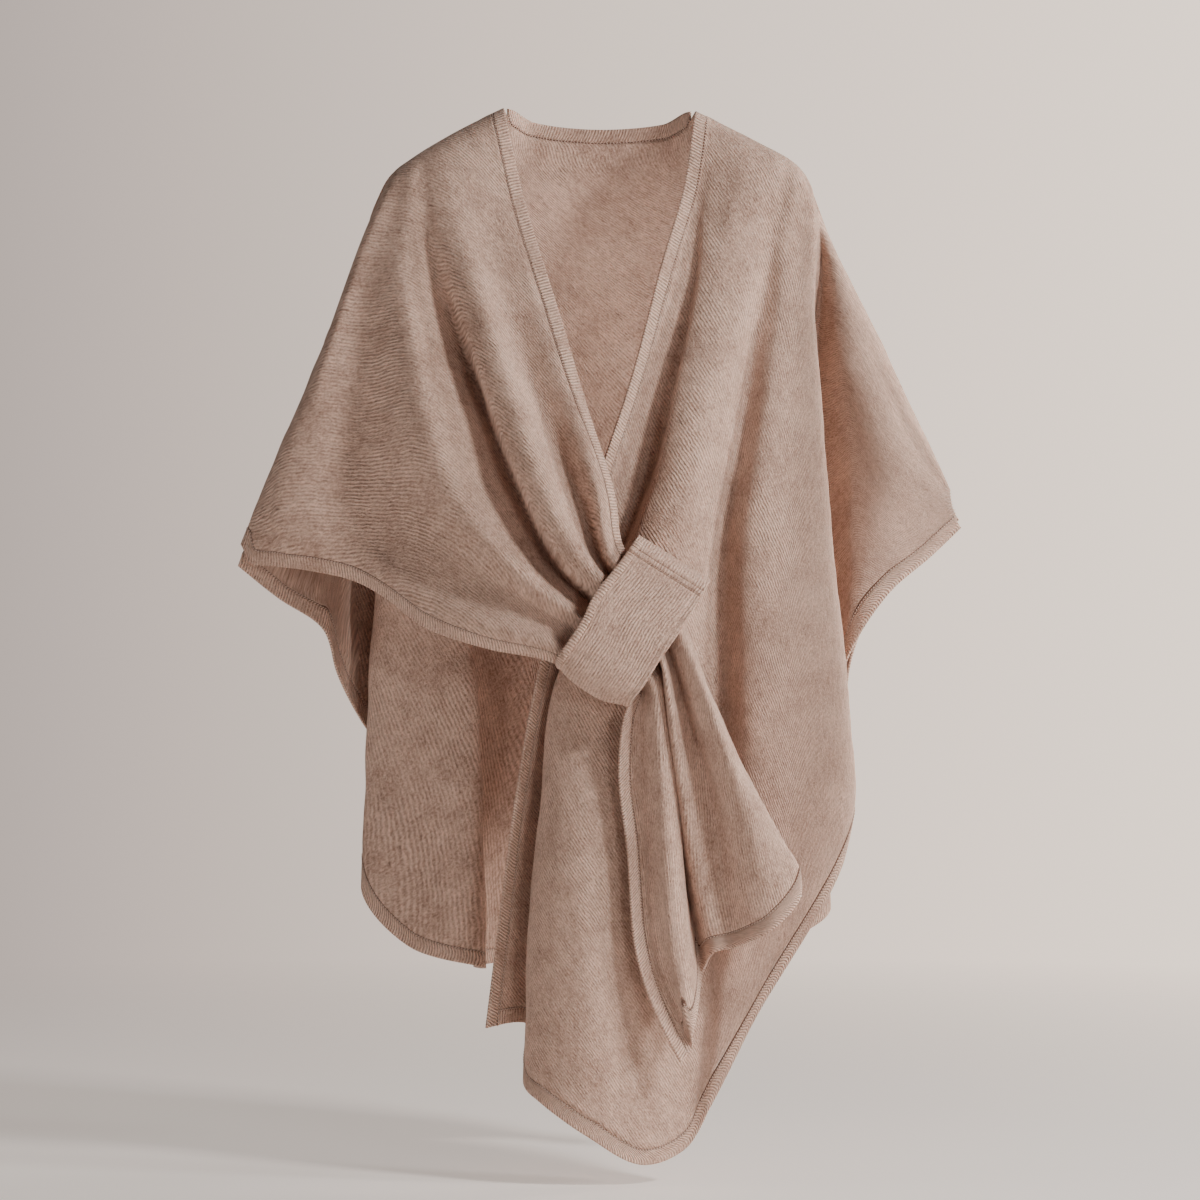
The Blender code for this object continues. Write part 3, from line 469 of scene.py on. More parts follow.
class Finish:
    """A material's nodes, wired by a few short calls."""

    def __init__(self, name):
        self.material = bpy.data.materials.new(name)
        self.material.use_nodes = True
        self.nodes = self.material.node_tree.nodes
        self.links = self.material.node_tree.links
        self.shader = self.nodes["Principled BSDF"]

    def node(self, kind, **settings):
        made = self.nodes.new(kind)
        for key, value in settings.items():
            setattr(made, key, value)
        return made

    def put(self, socket, value):
        if isinstance(value, bpy.types.NodeSocket):
            self.links.new(value, socket)
        else:
            socket.default_value = value

    def math(self, operation, first, second=0.0, third=0.0):
        made = self.node("ShaderNodeMath", operation=operation)
        for socket, value in zip(made.inputs, (first, second, third)):
            self.put(socket, value)
        return made.outputs[0]

    def noise(self, vector, scale, detail=2.0, rough=0.5):
        made = self.node("ShaderNodeTexNoise")
        self.put(made.inputs["Vector"], vector)
        self.put(made.inputs["Scale"], scale)
        self.put(made.inputs["Detail"], detail)
        self.put(made.inputs["Roughness"], rough)
        return made.outputs["Fac"]

    def scaled(self, vector, x, y, z=1.0):
        made = self.node("ShaderNodeVectorMath", operation="MULTIPLY")
        self.put(made.inputs[0], vector)
        made.inputs[1].default_value = (x, y, z)
        return made.outputs[0]

    def split(self, vector):
        made = self.node("ShaderNodeSeparateXYZ")
        self.put(made.inputs[0], vector)
        return made.outputs

    def ranged(self, value, low, high, to_low=0.0, to_high=1.0):
        made = self.node("ShaderNodeMapRange")
        made.clamp = True
        for key, entry in (("Value", value), ("From Min", low), ("From Max", high),
                           ("To Min", to_low), ("To Max", to_high)):
            self.put(made.inputs[key], entry)
        return made.outputs["Result"]

    def blend(self, share, first, second):
        made = self.node("ShaderNodeMix", data_type="RGBA")
        self.put(made.inputs["Factor"], share)
        self.put(made.inputs["A"], first)
        self.put(made.inputs["B"], second)
        return made.outputs["Result"]


# Yarn colours, linear
YARN_PALE = (0.90, 0.630, 0.505, 1.0)
YARN_DEEP = (0.19, 0.104, 0.074, 1.0)
SLUB = (0.12, 0.066, 0.048, 1.0)
NAP = (0.95, 0.88, 0.85, 1.0)
WALE_PITCH = 0.0030
RIB_PITCH = 0.0031


def knit_finish(name, pitch=WALE_PITCH, rib=1.0, slubs=1.0, tone=0.0, cloud=1.0):
    """Fine knit: broken slanting wales, melange yarn, darker slubs and a soft nap.

    The piece's UV map "cloth" is in metres: x across the wales, y along them.
    """
    f = Finish(name)
    cloth = f.node("ShaderNodeUVMap", uv_map="cloth").outputs[0]
    place = f.node("ShaderNodeTexCoord").outputs["Object"]
    across = f.split(cloth)[0]

    wander = f.math("MULTIPLY", f.math("SUBTRACT", f.noise(place, 60.0, 2.0), 0.5), pitch * 1.1)
    turn = f.math("MULTIPLY", f.math("ADD", across, wander), 2.0 * math.pi / pitch)
    wale = f.math("MULTIPLY_ADD", f.math("SINE", turn), 0.5, 0.5)
    clear = f.math("MULTIPLY", f.ranged(f.noise(place, 26.0, 3.0), 0.36, 0.6, 0.25, 1.0), rib)

    streaks = f.ranged(f.noise(f.scaled(cloth, 460.0, 190.0), 1.0, 2.0, 0.6), 0.34, 0.66)
    grain = f.ranged(f.noise(f.scaled(cloth, 760.0, 420.0), 1.0, 1.0, 0.6), 0.32, 0.68)
    clouds = f.ranged(f.noise(place, 17.0, 3.0, 0.6), 0.36, 0.64)
    patches = f.ranged(f.noise(f.scaled(cloth, 110.0, 55.0), 1.0, 3.0, 0.6), 0.36, 0.64)

    blend = f.math("MULTIPLY", streaks, 0.26)
    blend = f.math("MULTIPLY_ADD", grain, 0.26, blend)
    blend = f.math("MULTIPLY_ADD", f.math("MULTIPLY", wale, clear), 0.30, blend)
    blend = f.math("MULTIPLY_ADD", clouds, 0.13 * cloud, blend)
    blend = f.math("MULTIPLY_ADD", patches, 0.16 * cloud, blend)
    blend = f.math("ADD", blend, 0.02 - tone - 0.145 * (cloud - 1.0))
    colour = f.blend(f.ranged(blend, 0.0, 1.0), YARN_DEEP, YARN_PALE)
    dark = f.math("MULTIPLY", f.ranged(f.noise(f.scaled(cloth, 300.0, 60.0), 1.0, 3.0, 0.65), 0.60, 0.72),
                  f.ranged(f.noise(place, 30.0, 2.0), 0.42, 0.6))
    colour = f.blend(f.math("MULTIPLY", dark, 0.7 * slubs), colour, SLUB)
    f.put(f.shader.inputs["Base Color"], colour)

    height = f.math("MULTIPLY", wale, f.math("MULTIPLY", clear, 0.8))
    height = f.math("MULTIPLY_ADD", streaks, 0.5, height)
    height = f.math("MULTIPLY_ADD", grain, 0.45, height)
    bump = f.node("ShaderNodeBump")
    bump.inputs["Strength"].default_value = 0.8
    bump.inputs["Distance"].default_value = 0.0010
    f.put(bump.inputs["Height"], height)
    f.put(f.shader.inputs["Normal"], bump.outputs[0])

    f.shader.inputs["Roughness"].default_value = 0.95
    f.shader.inputs["Subsurface Weight"].default_value = 0.22
    f.shader.inputs["Subsurface Radius"].default_value = (1.0, 0.62, 0.46)
    f.shader.inputs["Subsurface Scale"].default_value = 0.0025
    f.shader.inputs["Specular IOR Level"].default_value = 0.18
    f.shader.inputs["Sheen Weight"].default_value = 0.07
    f.shader.inputs["Sheen Roughness"].default_value = 0.45
    f.shader.inputs["Sheen Tint"].default_value = NAP
    return f.material


def plain_finish(name, colour):
    """Plain yarn with a few darker flecks."""
    f = Finish(name)
    place = f.node("ShaderNodeTexCoord").outputs["Object"]
    fleck = f.ranged(f.noise(place, 900.0, 2.0), 0.35, 0.7, 0.0, 0.5)
    f.put(f.shader.inputs["Base Color"], f.blend(fleck, colour, YARN_DEEP))
    f.shader.inputs["Roughness"].default_value = 0.9
    f.shader.inputs["Specular IOR Level"].default_value = 0.2
    f.shader.inputs["Sheen Weight"].default_value = 0.3
    return f.material


# ---------------------------------------------------------------- cloth

def placed(name, data):
    """Put an object with this data into the scene."""
    piece = bpy.data.objects.new(name, data)
    bpy.context.scene.collection.objects.link(piece)
    return piece


def soft_noise(points, scale, seed):
    """Smooth bumps about 1 / scale apart, the same on every run."""
    rng = np.random.default_rng(seed)
    total = np.zeros(points.shape[:-1])
    for _ in range(7):
        way = rng.normal(size=3)
        way *= scale * 2.0 * math.pi * rng.uniform(0.6, 1.4) / np.linalg.norm(way)
        total += np.sin(points @ way + rng.uniform(0.0, 6.28))
    return total / 3.0


def grid_normals(points):
    """Unit normals of a grid of points (rows, columns, 3)."""
    down = np.gradient(points, axis=0)
    over = np.gradient(points, axis=1)
    normal = np.cross(down, over)
    return normal / np.maximum(np.linalg.norm(normal, axis=-1, keepdims=True), 1e-12)


def lengths(points):
    """Arc lengths over the grid: along each row, and down each column."""
    over = np.linalg.norm(np.diff(points, axis=1), axis=-1)
    down = np.linalg.norm(np.diff(points, axis=0), axis=-1)
    s = np.concatenate([np.zeros((len(points), 1)), np.cumsum(over, axis=1)], axis=1)
    t = np.concatenate([np.zeros((1, points.shape[1])), np.cumsum(down, axis=0)], axis=0)
    return s, t


def lay(name, points, cloth, wall, material):
    """Make one piece of cloth: a grid laid on the points, with its wales, given its wall."""
    rows, columns = points.shape[0] - 1, points.shape[1] - 1
    mesh = bpy.data.meshes.new(name)
    bm = bmesh.new()
    bmesh.ops.create_grid(bm, x_segments=columns, y_segments=rows, size=0.5)
    bm.to_mesh(mesh)
    bm.free()
    flat = np.empty(len(mesh.vertices) * 3)
    mesh.vertices.foreach_get("co", flat)
    flat = flat.reshape(-1, 3)
    column = np.rint((flat[:, 0] + 0.5) * columns).astype(int)
    row = np.rint((0.5 - flat[:, 1]) * rows).astype(int)
    mesh.vertices.foreach_set("co", points[row, column].ravel())
    layer = mesh.uv_layers.new(name="cloth")
    corner = np.empty(len(mesh.loops), dtype=np.int32)
    mesh.loops.foreach_get("vertex_index", corner)
    layer.data.foreach_set("uv", cloth[row[corner], column[corner]].ravel())
    mesh.shade_smooth()
    mesh.update()
    mesh.materials.append(material)
    piece = placed(name, mesh)
    if wall:
        shell = piece.modifiers.new("wall", "SOLIDIFY")
        shell.thickness = wall
        shell.offset = 0.0
        shell.use_even_offset = False
    return piece


def fine_stops(sheet, first, last, cell):
    """Line numbers about one cell apart, from line first to line last."""
    stops = []
    for line in range(int(first), int(math.ceil(last))):
        ends = np.array([line, min(line + 1.0, last)])
        width = max(np.linalg.norm(np.diff(sheet.at(ends, np.full(2, v)), axis=0)) for v in (0.3, 0.6, 0.95))
        cells = max(2, int(math.ceil(width / cell)))
        stops.extend(line + (ends[1] - line) * k / cells for k in range(cells))
    return np.array(stops + [float(last)])


def panel_grid(sheet, us, vs, left=0.0, right=0.0, top=None, bottom=0.0, seam=SEAM_GAP):
    """Grid points of a whole sheet less the bands on its edges, and the (u, v) of each."""
    last = sheet.count - 1
    u, v = np.meshgrid(us, vs)
    start = top(us, seam) if top else np.zeros_like(us)
    stop = sheet.inset_v(us, bottom, gap=seam) if bottom else np.ones_like(us)
    v = start[None, :] + (stop - start)[None, :] * v
    if left:
        inset = sheet.inset_u(vs, left, gap=seam)
        u = u + inset[:, None] * np.clip(1.0 - us, 0.0, 1.0)
    if right:
        inset = last - sheet.inset_u(vs, right, last=True, gap=seam)
        u = u - inset[:, None] * np.clip(1.0 - (last - us), 0.0, 1.0)
    return sheet.at(u, v), u, v


def band_grid(sheet, width, stops, cells=7, last=False):
    """Grid points of the band along the first or last line."""
    end = sheet.count - 1.0 if last else 0.0
    inner = sheet.inset_u(stops, width, last)
    share = np.linspace(0.0, 1.0, cells + 1)
    if last:
        u = inner[:, None] * (1 - share) + end * share
    else:
        u = end * (1 - share) + inner[:, None] * share
    return sheet.at(u, np.broadcast_to(stops[:, None], u.shape))


def hem_grid(sheet, us, left=0.0, cells=7):
    """Grid points of the hem band along the bottom, clear of a side band."""
    u = np.array(us, float)
    if left:
        start = float(sheet.inset_u(np.ones(1), left, gap=SEAM_GAP)[0])
        u = u + start * np.clip(1.0 - u, 0.0, 1.0)
    inner = sheet.inset_v(u, HEM_BAND)
    share = np.linspace(0.0, 1.0, cells + 1)
    v = inner[None, :] * (1 - share[:, None]) + share[:, None]
    return sheet.at(np.broadcast_to(u[None, :], v.shape), v)


def side_linking(sheet, width, stops, last):
    """Grid points of the thin linking that joins a side band to its panel."""
    outer = sheet.inset_u(stops, width - LINK, last)
    inner = sheet.inset_u(stops, width + SEAM_GAP + LINK, last)
    share = np.linspace(0.0, 1.0, 5)
    u = outer[:, None] * (1 - share) + inner[:, None] * share
    return sheet.at(u, np.broadcast_to(stops[:, None], u.shape))


def hem_linking(sheet, us, left=0.0):
    """Grid points of the thin linking that joins a hem to its panel."""
    u = np.array(us, float)
    if left:
        start = float(sheet.inset_u(np.ones(1), left, gap=SEAM_GAP)[0])
        u = u + start * np.clip(1.0 - u, 0.0, 1.0)
    outer = sheet.inset_v(u, HEM_BAND - LINK)
    inner = sheet.inset_v(u, HEM_BAND + SEAM_GAP + LINK)
    share = np.linspace(0.0, 1.0, 5)[:, None]
    v = outer[None, :] * (1 - share) + inner[None, :] * share
    return sheet.at(np.broadcast_to(u[None, :], v.shape), v)


def stitch_row(path, normal, lift, pitch, length, thick, turn):
    """Vertices of the stitches along a path: ellipsoids turned from the path, lifted off the cloth.

    A turn below zero leans each stitch the other way from the one before it.
    """
    run = np.concatenate([[0.0], np.cumsum(np.linalg.norm(np.diff(path, axis=0), axis=1))])
    stops = np.arange(pitch * 0.5, run[-1], pitch)

    def stop(values):
        return np.stack([np.interp(stops, run, values[:, k]) for k in range(3)], axis=-1)

    def unit(values):
        return values / np.maximum(np.linalg.norm(values, axis=-1, keepdims=True), 1e-9)

    ahead = unit(stop(np.gradient(path, axis=0)))
    out = unit(stop(normal))
    beside = unit(np.cross(out, ahead))
    angle = np.full((len(stops), 1), math.radians(turn))
    if turn < 0:
        angle[0::2] *= -1.0
    way = ahead * np.cos(angle) + beside * np.sin(angle)
    cross = np.cross(out, way)
    centre = stop(path) + out * lift
    lengthwise, sideways, upwards = STITCH[None, :, 2:3], STITCH[None, :, 0:1], STITCH[None, :, 1:2]
    return (centre[:, None] + lengthwise * length * way[:, None] + sideways * thick * cross[:, None]
            + upwards * 0.8 * thick * out[:, None])


def stitches(name, rows, material):
    """Join many stitches into one mesh."""
    points = np.concatenate([row.reshape(-1, 3) for row in rows])
    count = len(points) // len(STITCH)
    faces = [[corner + k * len(STITCH) for corner in face] for k in range(count) for face in STITCH_FACES]
    mesh = bpy.data.meshes.new(name)
    mesh.from_pydata(points.tolist(), [], faces)
    mesh.shade_smooth()
    mesh.update()
    mesh.materials.append(material)
    return placed(name, mesh)


seed = bmesh.new()
bmesh.ops.create_uvsphere(seed, u_segments=6, v_segments=3, radius=0.5)
STITCH = np.array([vertex.co for vertex in seed.verts])
STITCH_FACES = [[vertex.index for vertex in face.verts] for face in seed.faces]
seed.free()


def weave(s, t, lean):
    """Cloth coordinates whose wales lean from the fold lines by `lean` degrees."""
    angle = math.radians(lean)
    return np.stack([s * math.cos(angle) - t * math.sin(angle),
                     s * math.sin(angle) + t * math.cos(angle)], axis=-1)


def undulate(points, seed, broad=0.0011, small=0.00035):
    """Low, soft unevenness of worn cloth, fading out at the grid's edges."""
    normal = grid_normals(points)
    lift = broad * soft_noise(points, 9.0, seed) + small * soft_noise(points, 34.0, seed + 1)
    edge = np.ones(points.shape[:2])
    for k in range(4):
        edge[k, :] *= k / 4.0
        edge[-1 - k, :] *= k / 4.0
        edge[:, k] *= k / 4.0
        edge[:, -1 - k] *= k / 4.0
    return points + normal * (lift * edge)[..., None]


def finished(piece, slot, *nodes):
    """Give a piece its body and hide the solids it stands for. The slot is not used."""
    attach(piece, "root")
    if nodes:
        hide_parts(*nodes)
    return piece


# ---------------------------------------------------------------- the cape

FINE = 1.0
LEFT_CELL, RIGHT_CELL, TAIL_CELL, BACK_CELL = 0.0055, 0.0045, 0.0028, 0.0065
LEFT_HEM_CELL, TAIL_HEM_CELL, BACK_HEM_CELL, NECK_CELL = 0.004, 0.0025, 0.005, 0.003
OVER_SHOULDER = 0.06                   # the share of a fold line that has the closest rows
TAIL_SEAM = 0.0016                     # the tail's folds are tight, so its seam gap is wider
BAND_STOPS, TAIL_ROWS = 260, 150

right = right_front_sheet()
left = left_front_sheet()
back = back_sheet()
tail = tail_sheet()
tab = tab_sheet()

knit = knit_finish("fine_knit")
rib = knit_finish("rib_band", pitch=RIB_PITCH, rib=2.2, slubs=0.4, tone=0.05, cloud=0.5)
tab_knit = knit_finish("tab_knit", slubs=0.8, cloud=0.7)

rims = np.concatenate([np.linspace(0.0, OVER_SHOULDER, 14)[:-1], np.linspace(OVER_SHOULDER, 1.0, 150)])
if FINE > 1.0:
    rims = rims[::2]


def across_folds(sheet, cell):
    """Line numbers over the whole sheet, about one cell apart."""
    return fine_stops(sheet, 0, sheet.count - 1, cell * FINE)


# Left front: its wales turn to the other slant in the pocket behind the ridge. The wing lies at an
# angle to the front, so its knit is drawn wider across.
WING_STARTS, WING_WIDER = 10.6, 0.42
grid, u, _ = panel_grid(left, across_folds(left, LEFT_CELL), rims, left=FRONT_BAND, bottom=HEM_BAND)
s, t = lengths(grid)
wing = np.clip((u - WING_STARTS) / 0.02, 0.0, 1.0)[..., None]
cloth = weave(s, t, 52.0) * (1 - wing) + weave(s * WING_WIDER, t, -38.0) * wing
grid = undulate(grid, 3)
left_front = finished(lay("left_front_cloth", grid, cloth, WALL, knit), "fine_knit", "left_front")
wing_edge, wing_out = grid[6:-4, -2], grid_normals(grid)[6:-4, -2]

# Right front: its courses fall more and more steeply towards the tab. (across, slope)
COURSES = np.array(((-0.35, 0.03), (-0.25, 0.09), (-0.20, 0.4), (-0.15, 0.9), (-0.10, 1.2), (-0.05, 1.5),
                    (0.05, 1.6)))
grid, _, _ = panel_grid(right, across_folds(right, RIGHT_CELL), rims, left=FRONT_BAND, right=HEM_BAND)
x, down, out = grid[..., 0], -grid[..., 2], -grid[..., 1]
across = np.linspace(-0.36, 0.06, 200)
fall = np.cumsum(np.interp(across[1:], COURSES[:, 0], COURSES[:, 1])) * (across[1] - across[0])
course = np.interp(x, across, np.concatenate([[0.0], fall]))
cloth = np.stack([(down - course) * 0.8 + 0.4 * out, x + 0.4 * down], axis=-1)
right_front = finished(lay("right_front_cloth", undulate(grid, 5), cloth, WALL, knit),
                       "fine_knit", "right_front")

# Its tail
grid, _, _ = panel_grid(tail, across_folds(tail, TAIL_CELL), np.linspace(0.0, 1.0, int(TAIL_ROWS / FINE)),
                        left=FRONT_BAND, bottom=HEM_BAND, seam=TAIL_SEAM)
s, t = lengths(grid)
tail_cloth = finished(lay("tail_cloth", undulate(grid, 7, 0.0004, 0.0002), weave(s, t, 3.0), WALL, knit),
                      "fine_knit", "right_front_tail")

# Back: its top has a band between the two neck points
first = next(k for k, row in enumerate(BACK) if row[1] == "neck")
last = first + 4


def neck_top(u, gap=0.0):
    """How far down the back neck's band reaches, in fractions of each fold line."""
    share = np.clip(np.minimum(u - first, last - u) / 0.28, 0.0, 1.0)
    return np.where(share > 0.0, back.inset_v(u, NECK_BAND * share, top=True, gap=gap), 0.0)


grid, _, _ = panel_grid(back, across_folds(back, BACK_CELL), rims, top=neck_top, bottom=HEM_BAND)
s, t = lengths(grid)
back_cloth = finished(lay("back_cloth", undulate(grid, 9), weave(s, t, 38.0), WALL, knit), "fine_knit", "back")

# Bands
stops = np.linspace(0.0, 1.0, int(BAND_STOPS / FINE))


def band_piece(name, grid, node):
    """A band down a side, whose ribs cross it."""
    s, t = lengths(grid)
    return finished(lay(name, grid, np.stack([t, s], axis=-1), BAND_WALL, rib), "rib_band", node)


def hem_piece(name, grid, node):
    """A band across the fold lines, whose ribs cross it."""
    s, t = lengths(grid)
    return finished(lay(name, grid, np.stack([s, t], axis=-1), BAND_WALL, rib), "rib_band", node)


right_band = band_piece("right_neck_band", band_grid(right, FRONT_BAND, stops), "right_front_band")
right_hem = band_piece("right_hem_band", band_grid(right, HEM_BAND, stops, last=True), "right_front_hem")
left_band = band_piece("left_neck_band", band_grid(left, FRONT_BAND, stops), "left_front_band")
tail_edge = band_piece("tail_edge", band_grid(tail, FRONT_BAND, stops), "tail_edge_band")
left_hem = hem_piece("left_hem_band", hem_grid(left, across_folds(left, LEFT_HEM_CELL), left=FRONT_BAND),
                     "left_front_hem")
tail_hem = hem_piece("tail_hem_band", hem_grid(tail, across_folds(tail, TAIL_HEM_CELL), left=FRONT_BAND),
                     "tail_hem")
back_hem = hem_piece("back_hem_band", hem_grid(back, across_folds(back, BACK_HEM_CELL)), "back_hem")
neck_us = fine_stops(back, first, last, NECK_CELL * FINE)
neck_us = neck_us[(neck_us >= first + 0.10) & (neck_us <= last - 0.10)]
v = neck_top(neck_us)[None, :] * np.linspace(0.0, 1.0, 8)[:, None]
neck_band = hem_piece("neck_band", back.at(np.broadcast_to(neck_us[None, :], v.shape), v), "back_neck_band")

# Loop tab. Its lower fold bows, its top is a little wider at the right, ridges and grooves cross it
# near the top, a groove runs beside its right edge, and soft folds lie below. The rows of TAB_RELIEF
# are (distance below the top, width, height), and a groove's height is below zero.
TAB_WAY = (-0.55, 0.0, -0.835)
TAB_ACROSS = (0.83, 0.0, -0.55)
TAB_BOW, TAB_WIDER = 0.0085, 0.0055
TAB_TOP = 0.040
TAB_RELIEF = ((0.0025, 0.0020, 0.0011), (0.0085, 0.0021, 0.0012), (0.0055, 0.0008, -0.0011),
              (0.0118, 0.0009, -0.0012))
SIDE_GROOVE, SIDE_GROOVE_WIDTH, SIDE_GROOVE_DEPTH = 0.0065, 0.0010, 0.0010
TAB_ROWS, TAB_COLUMNS = 321, 57
u, v = np.meshgrid(np.linspace(0.0, 2.0, TAB_COLUMNS), np.linspace(0.0, 1.0, TAB_ROWS))
grid = tab.at(u, v)
s, t = lengths(grid)
fold = np.clip((t - 0.075) / 0.06, 0.0, 1.0) ** 2
grid = grid - np.array(TAB_WAY) * (TAB_BOW * (u - 1.0) ** 2 * fold)[..., None]
grid = grid + np.array(TAB_ACROSS) * (TAB_WIDER * 0.5 * u * np.clip(1.0 - t / 0.11, 0.0, 1.0))[..., None]
tab_out = grid_normals(grid)
tab_out *= np.sign(-tab_out[110, 28, 1])
s, t = lengths(grid)
below = t - TAB_TOP
relief = sum(height * np.exp(-((below - place) / width) ** 2) for place, width, height in TAB_RELIEF)
relief -= (SIDE_GROOVE_DEPTH * np.exp(-((s[:, -1:] - s - SIDE_GROOVE) / SIDE_GROOVE_WIDTH) ** 2)
           * np.clip((below - 0.012) / 0.004, 0.0, 1.0))
soft = np.sin(s / 0.0062 + 2.2 * soft_noise(grid, 7.0, 4)) * np.clip(soft_noise(grid, 12.0, 6) + 0.4, 0.0, 1.0)
relief += 0.0006 * soft * np.clip((t - 0.07) / 0.03, 0.0, 1.0)
tab_grid = undulate(grid + tab_out * relief[..., None], 11, 0.0004, 0.0002)
loop_tab = finished(lay("loop_tab_cloth", tab_grid, weave(s, t, 0.0), TAB_WALL, tab_knit), "rib_band", "loop_tab")
roll = 0.0012 + 0.0009 * np.sin(np.linspace(0.2, math.pi, 6))
rim = tab_grid[46:300, 0:6] + tab_out[46:300, 0:6] * roll[None, :, None]
s, t = lengths(rim)
tab_rim = finished(lay("tab_rim", rim, np.stack([t, s], axis=-1), 0.0022, rib), "rib_band")

# Linking under the seams, coloured dark as painted shade of the seam grooves, and the stitches on it: (pitch,
# length, thickness, turn from the seam)
CHAIN = (0.0030, 0.0026, 0.0009, 12.0)
HEM_CHAIN = (RIB_PITCH, 0.0029, 0.0015, 10.0)
LADDER = (0.0030, 0.0040, 0.0013, 78.0)
ZIGZAG = (0.0034, 0.0034, 0.0012, -52.0)
WING_RIBS = (RIB_PITCH, 0.0120, 0.0012, 86.0)
TAB_CHAIN = (0.0029, 0.0027, 0.0010, 6.0)
# The dark linking and the tab's dark stitches are painted shade of the seam grooves and the tab's grooves.
dark = plain_finish("linking_painted_shade", (0.17, 0.09, 0.062, 1.0))
pale = plain_finish("linking_yarn", (0.66, 0.47, 0.385, 1.0))


def linked(name, grid):
    """Lay the linking of one seam, coloured dark as painted shade of the seam's groove."""
    return finished(lay(name, grid, np.zeros(grid.shape[:2] + (2,)), LINK_WALL, dark), "rib_band")


def both_faces(path, out, lift, settings):
    """A row of stitches on each face of the cloth."""
    return [stitch_row(path, out * face, lift, *settings) for face in (1.0, -1.0)]


def seam_stitches(grid, settings):
    """Rows along the middle of a linking grid, which lies along its rows of points."""
    return both_faces(grid[2], grid_normals(grid)[2], BAND_WALL * 0.5, settings)


linking, rows = {}, []
for name, sheet, width, at_end, settings in (
        ("right_neck", right, FRONT_BAND, False, CHAIN), ("right_hem", right, HEM_BAND, True, HEM_CHAIN),
        ("left_neck", left, FRONT_BAND, False, LADDER), ("tail_edge", tail, FRONT_BAND, False, CHAIN)):
    grid = side_linking(sheet, width, stops, at_end)
    linking[name] = linked(name + "_linking", grid)
    rows += seam_stitches(grid.swapaxes(0, 1), settings)
for name, sheet, side_band, cell in (("left_hem", left, FRONT_BAND, LEFT_HEM_CELL),
                                     ("tail_hem", tail, FRONT_BAND, TAIL_HEM_CELL),
                                     ("back_hem", back, 0.0, BACK_HEM_CELL)):
    grid = hem_linking(sheet, across_folds(sheet, cell), side_band)
    linking[name] = linked(name + "_linking", grid)
    rows += seam_stitches(grid, HEM_CHAIN)
reach = np.linspace(-1.0, 1.0, 5) * (LINK + 0.5 * SEAM_GAP) + 0.5 * SEAM_GAP
v = neck_top(neck_us)[None, :] + reach[:, None] / 0.86      # the fold lines are 0.86 m long there
grid = back.at(np.broadcast_to(neck_us[None, :], v.shape), v)
linking["back_neck"] = linked("back_neck_linking", grid)
rows += seam_stitches(grid, ZIGZAG)
rows += both_faces(wing_edge, wing_out, WALL * 0.5, WING_RIBS)
seam_yarn = finished(stitches("seam_stitches", rows, pale), "rib_band")

run = np.cumsum(np.concatenate([[0.0], np.linalg.norm(np.diff(tab_grid[:, 28], axis=0), axis=1)]))
rows = []
# Dark stitches in the tab's two grooves: the stitches are real, and their dark colour is painted shade of the
# grooves.
for groove in (0.0055, 0.0118):
    row = int(np.searchsorted(run, TAB_TOP + groove))
    rows.append(stitch_row(tab_grid[row, 2:55], tab_out[row, 2:55], TAB_WALL * 0.5 - 0.0001, *TAB_CHAIN))
tab_stitches = finished(stitches("tab_stitches", rows, dark), "rib_band")

# ---------------------------------------------------------------- studio

floor_mesh = bpy.data.meshes.new("studio_floor")
bm = bmesh.new()
bmesh.ops.create_circle(bm, cap_ends=True, segments=96, radius=9.0)
bm.to_mesh(floor_mesh)
bm.free()
floor_mesh.transform(Matrix.Translation((0.0, 0.0, -FLOOR_DOWN)))
floor = placed("studio_floor", floor_mesh)
f = Finish("studio_floor")
place = f.node("ShaderNodeTexCoord").outputs["Object"]
f.shader.inputs["Base Color"].default_value = FLOOR_COLOUR
f.shader.inputs["Emission Color"].default_value = FLOOR_GLOW
f.shader.inputs["Emission Strength"].default_value = 0.36
f.shader.inputs["Roughness"].default_value = 0.9
f.shader.inputs["Specular IOR Level"].default_value = 0.1
length = f.node("ShaderNodeVectorMath", operation="LENGTH")
f.put(length.inputs[0], place)
f.put(f.shader.inputs["Alpha"], f.ranged(length.outputs["Value"], *FLOOR_FADE, 1.0, 0.0))
floor_mesh.materials.append(f.material)

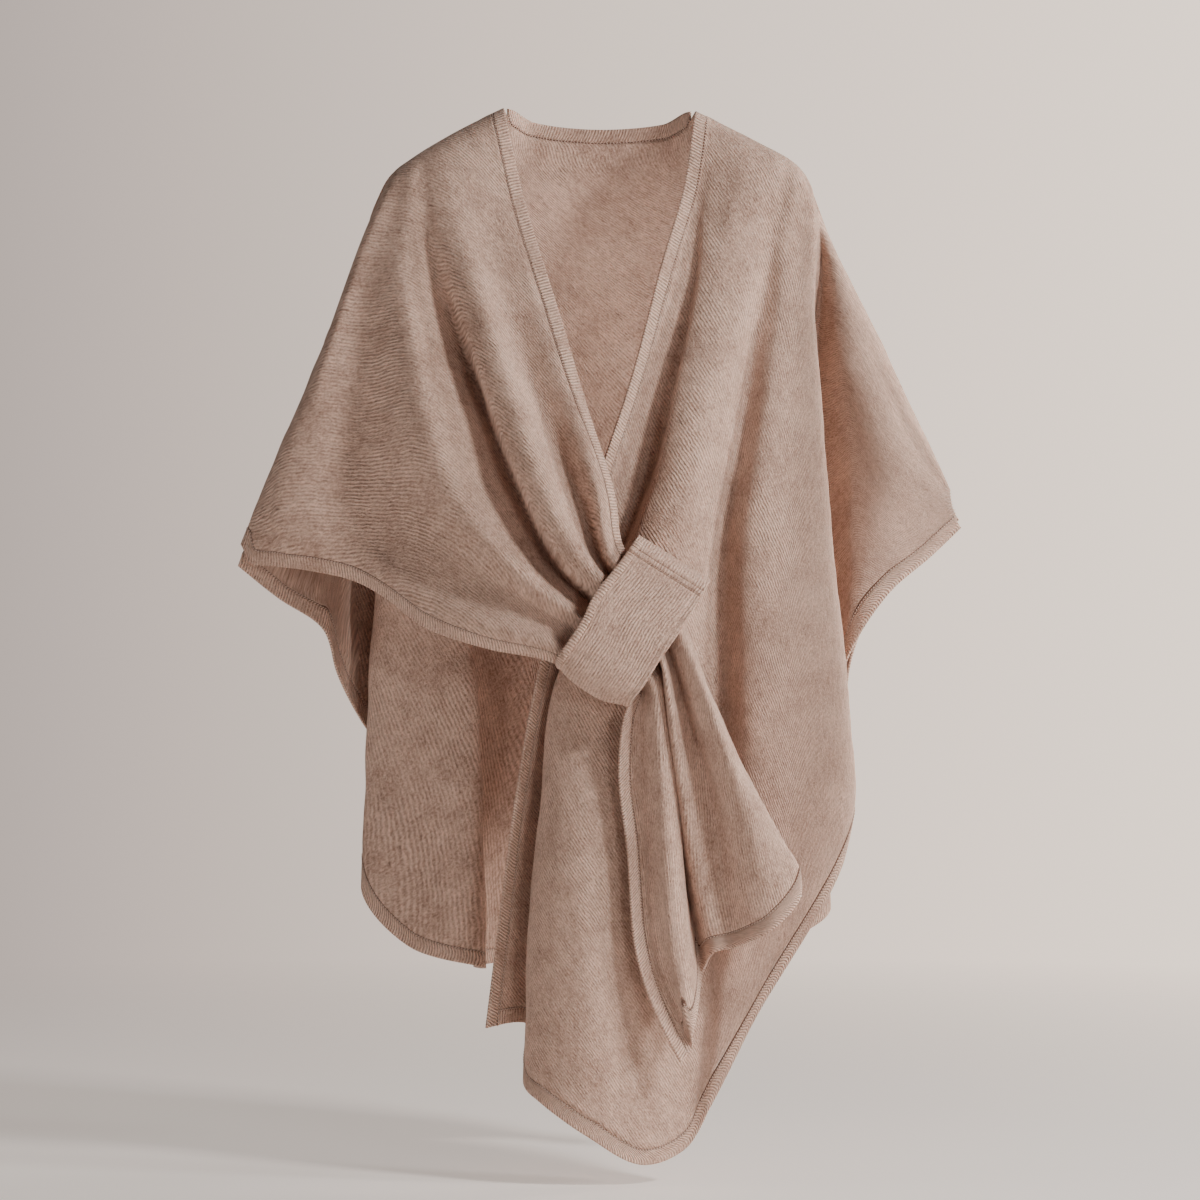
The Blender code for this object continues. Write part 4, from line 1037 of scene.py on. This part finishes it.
# The wall is the world's background, darker at the left, and the cape sees a dim room instead
world = bpy.data.worlds.new("studio_wall")
bpy.context.scene.world = world
world.use_nodes = True
nodes, wires = world.node_tree.nodes, world.node_tree.links
split = nodes.new("ShaderNodeSeparateXYZ")
wires.new(nodes.new("ShaderNodeTexCoord").outputs["Generated"], split.inputs[0])
ramp = nodes.new("ShaderNodeMapRange")
wires.new(split.outputs["X"], ramp.inputs["Value"])
ramp.inputs["From Min"].default_value = -WALL_RAMP
ramp.inputs["From Max"].default_value = WALL_RAMP
wall = nodes.new("ShaderNodeMix")
wall.data_type = "RGBA"
wires.new(ramp.outputs["Result"], wall.inputs["Factor"])
wall.inputs["A"].default_value = WALL_SHADE
wall.inputs["B"].default_value = WALL_LIGHT
room = nodes.new("ShaderNodeMix")
room.data_type = "RGBA"
wires.new(nodes.new("ShaderNodeLightPath").outputs["Is Camera Ray"], room.inputs["Factor"])
room.inputs["A"].default_value = ROOM_LIGHT
wires.new(wall.outputs["Result"], room.inputs["B"])
wires.new(room.outputs["Result"], nodes["Background"].inputs["Color"])


def softbox(name, turn, height, distance, size, watts, colour, aim=(0.0, 0.0, -0.45)):
    """A soft light `turn` degrees to the right of the front and `height` degrees up, facing its aim."""
    lamp = bpy.data.lights.new(name, "AREA")
    lamp.shape = "RECTANGLE"
    lamp.size, lamp.size_y = size
    lamp.energy = watts
    lamp.color = colour
    side, up = math.radians(turn), math.radians(height)
    way = Vector((math.sin(side) * math.cos(up), -math.cos(side) * math.cos(up), math.sin(up)))
    piece = placed(name, lamp)
    piece.location = Vector(aim) + way * distance
    piece.rotation_euler = (-way).to_track_quat("-Z", "Y").to_euler()
    return piece


softbox("high_key", 52.0, 34.0, FAR, (0.45, 0.45), 88.0, (1.0, 0.97, 0.94))
softbox("side_key", 70.0, 8.0, FAR, (0.45, 0.6), 64.0, (1.0, 0.96, 0.92))
softbox("front", 25.0, 5.0, FAR, (0.6, 0.6), 17.0, (1.0, 0.97, 0.95))
softbox("low_left", -42.0, -22.0, FAR, (0.6, 0.6), 34.0, (1.0, 0.95, 0.91))
softbox("far_left", -75.0, 5.0, FAR, (0.9, 0.9), 14.0, (1.0, 0.96, 0.93))
softbox("glow", 112.0, 10.0, FAR, (1.2, 1.4), 80.0, (1.0, 0.94, 0.88))
inside = softbox("inside", 0.0, 0.0, 0.20, (0.16, 0.30), 0.25, (1.0, 0.93, 0.88), (0.03, 0.18, -0.24))
inside.visible_camera = False

camera = bpy.data.cameras.new("front")
camera.lens = LENS
camera.sensor_width = SENSOR
camera_piece = placed("front", camera)
camera_piece.location = (0.0, -EYE_DISTANCE, -EYE_DOWN)
camera_piece.rotation_euler = (math.radians(90.0), 0.0, 0.0)
bpy.context.scene.camera = camera_piece
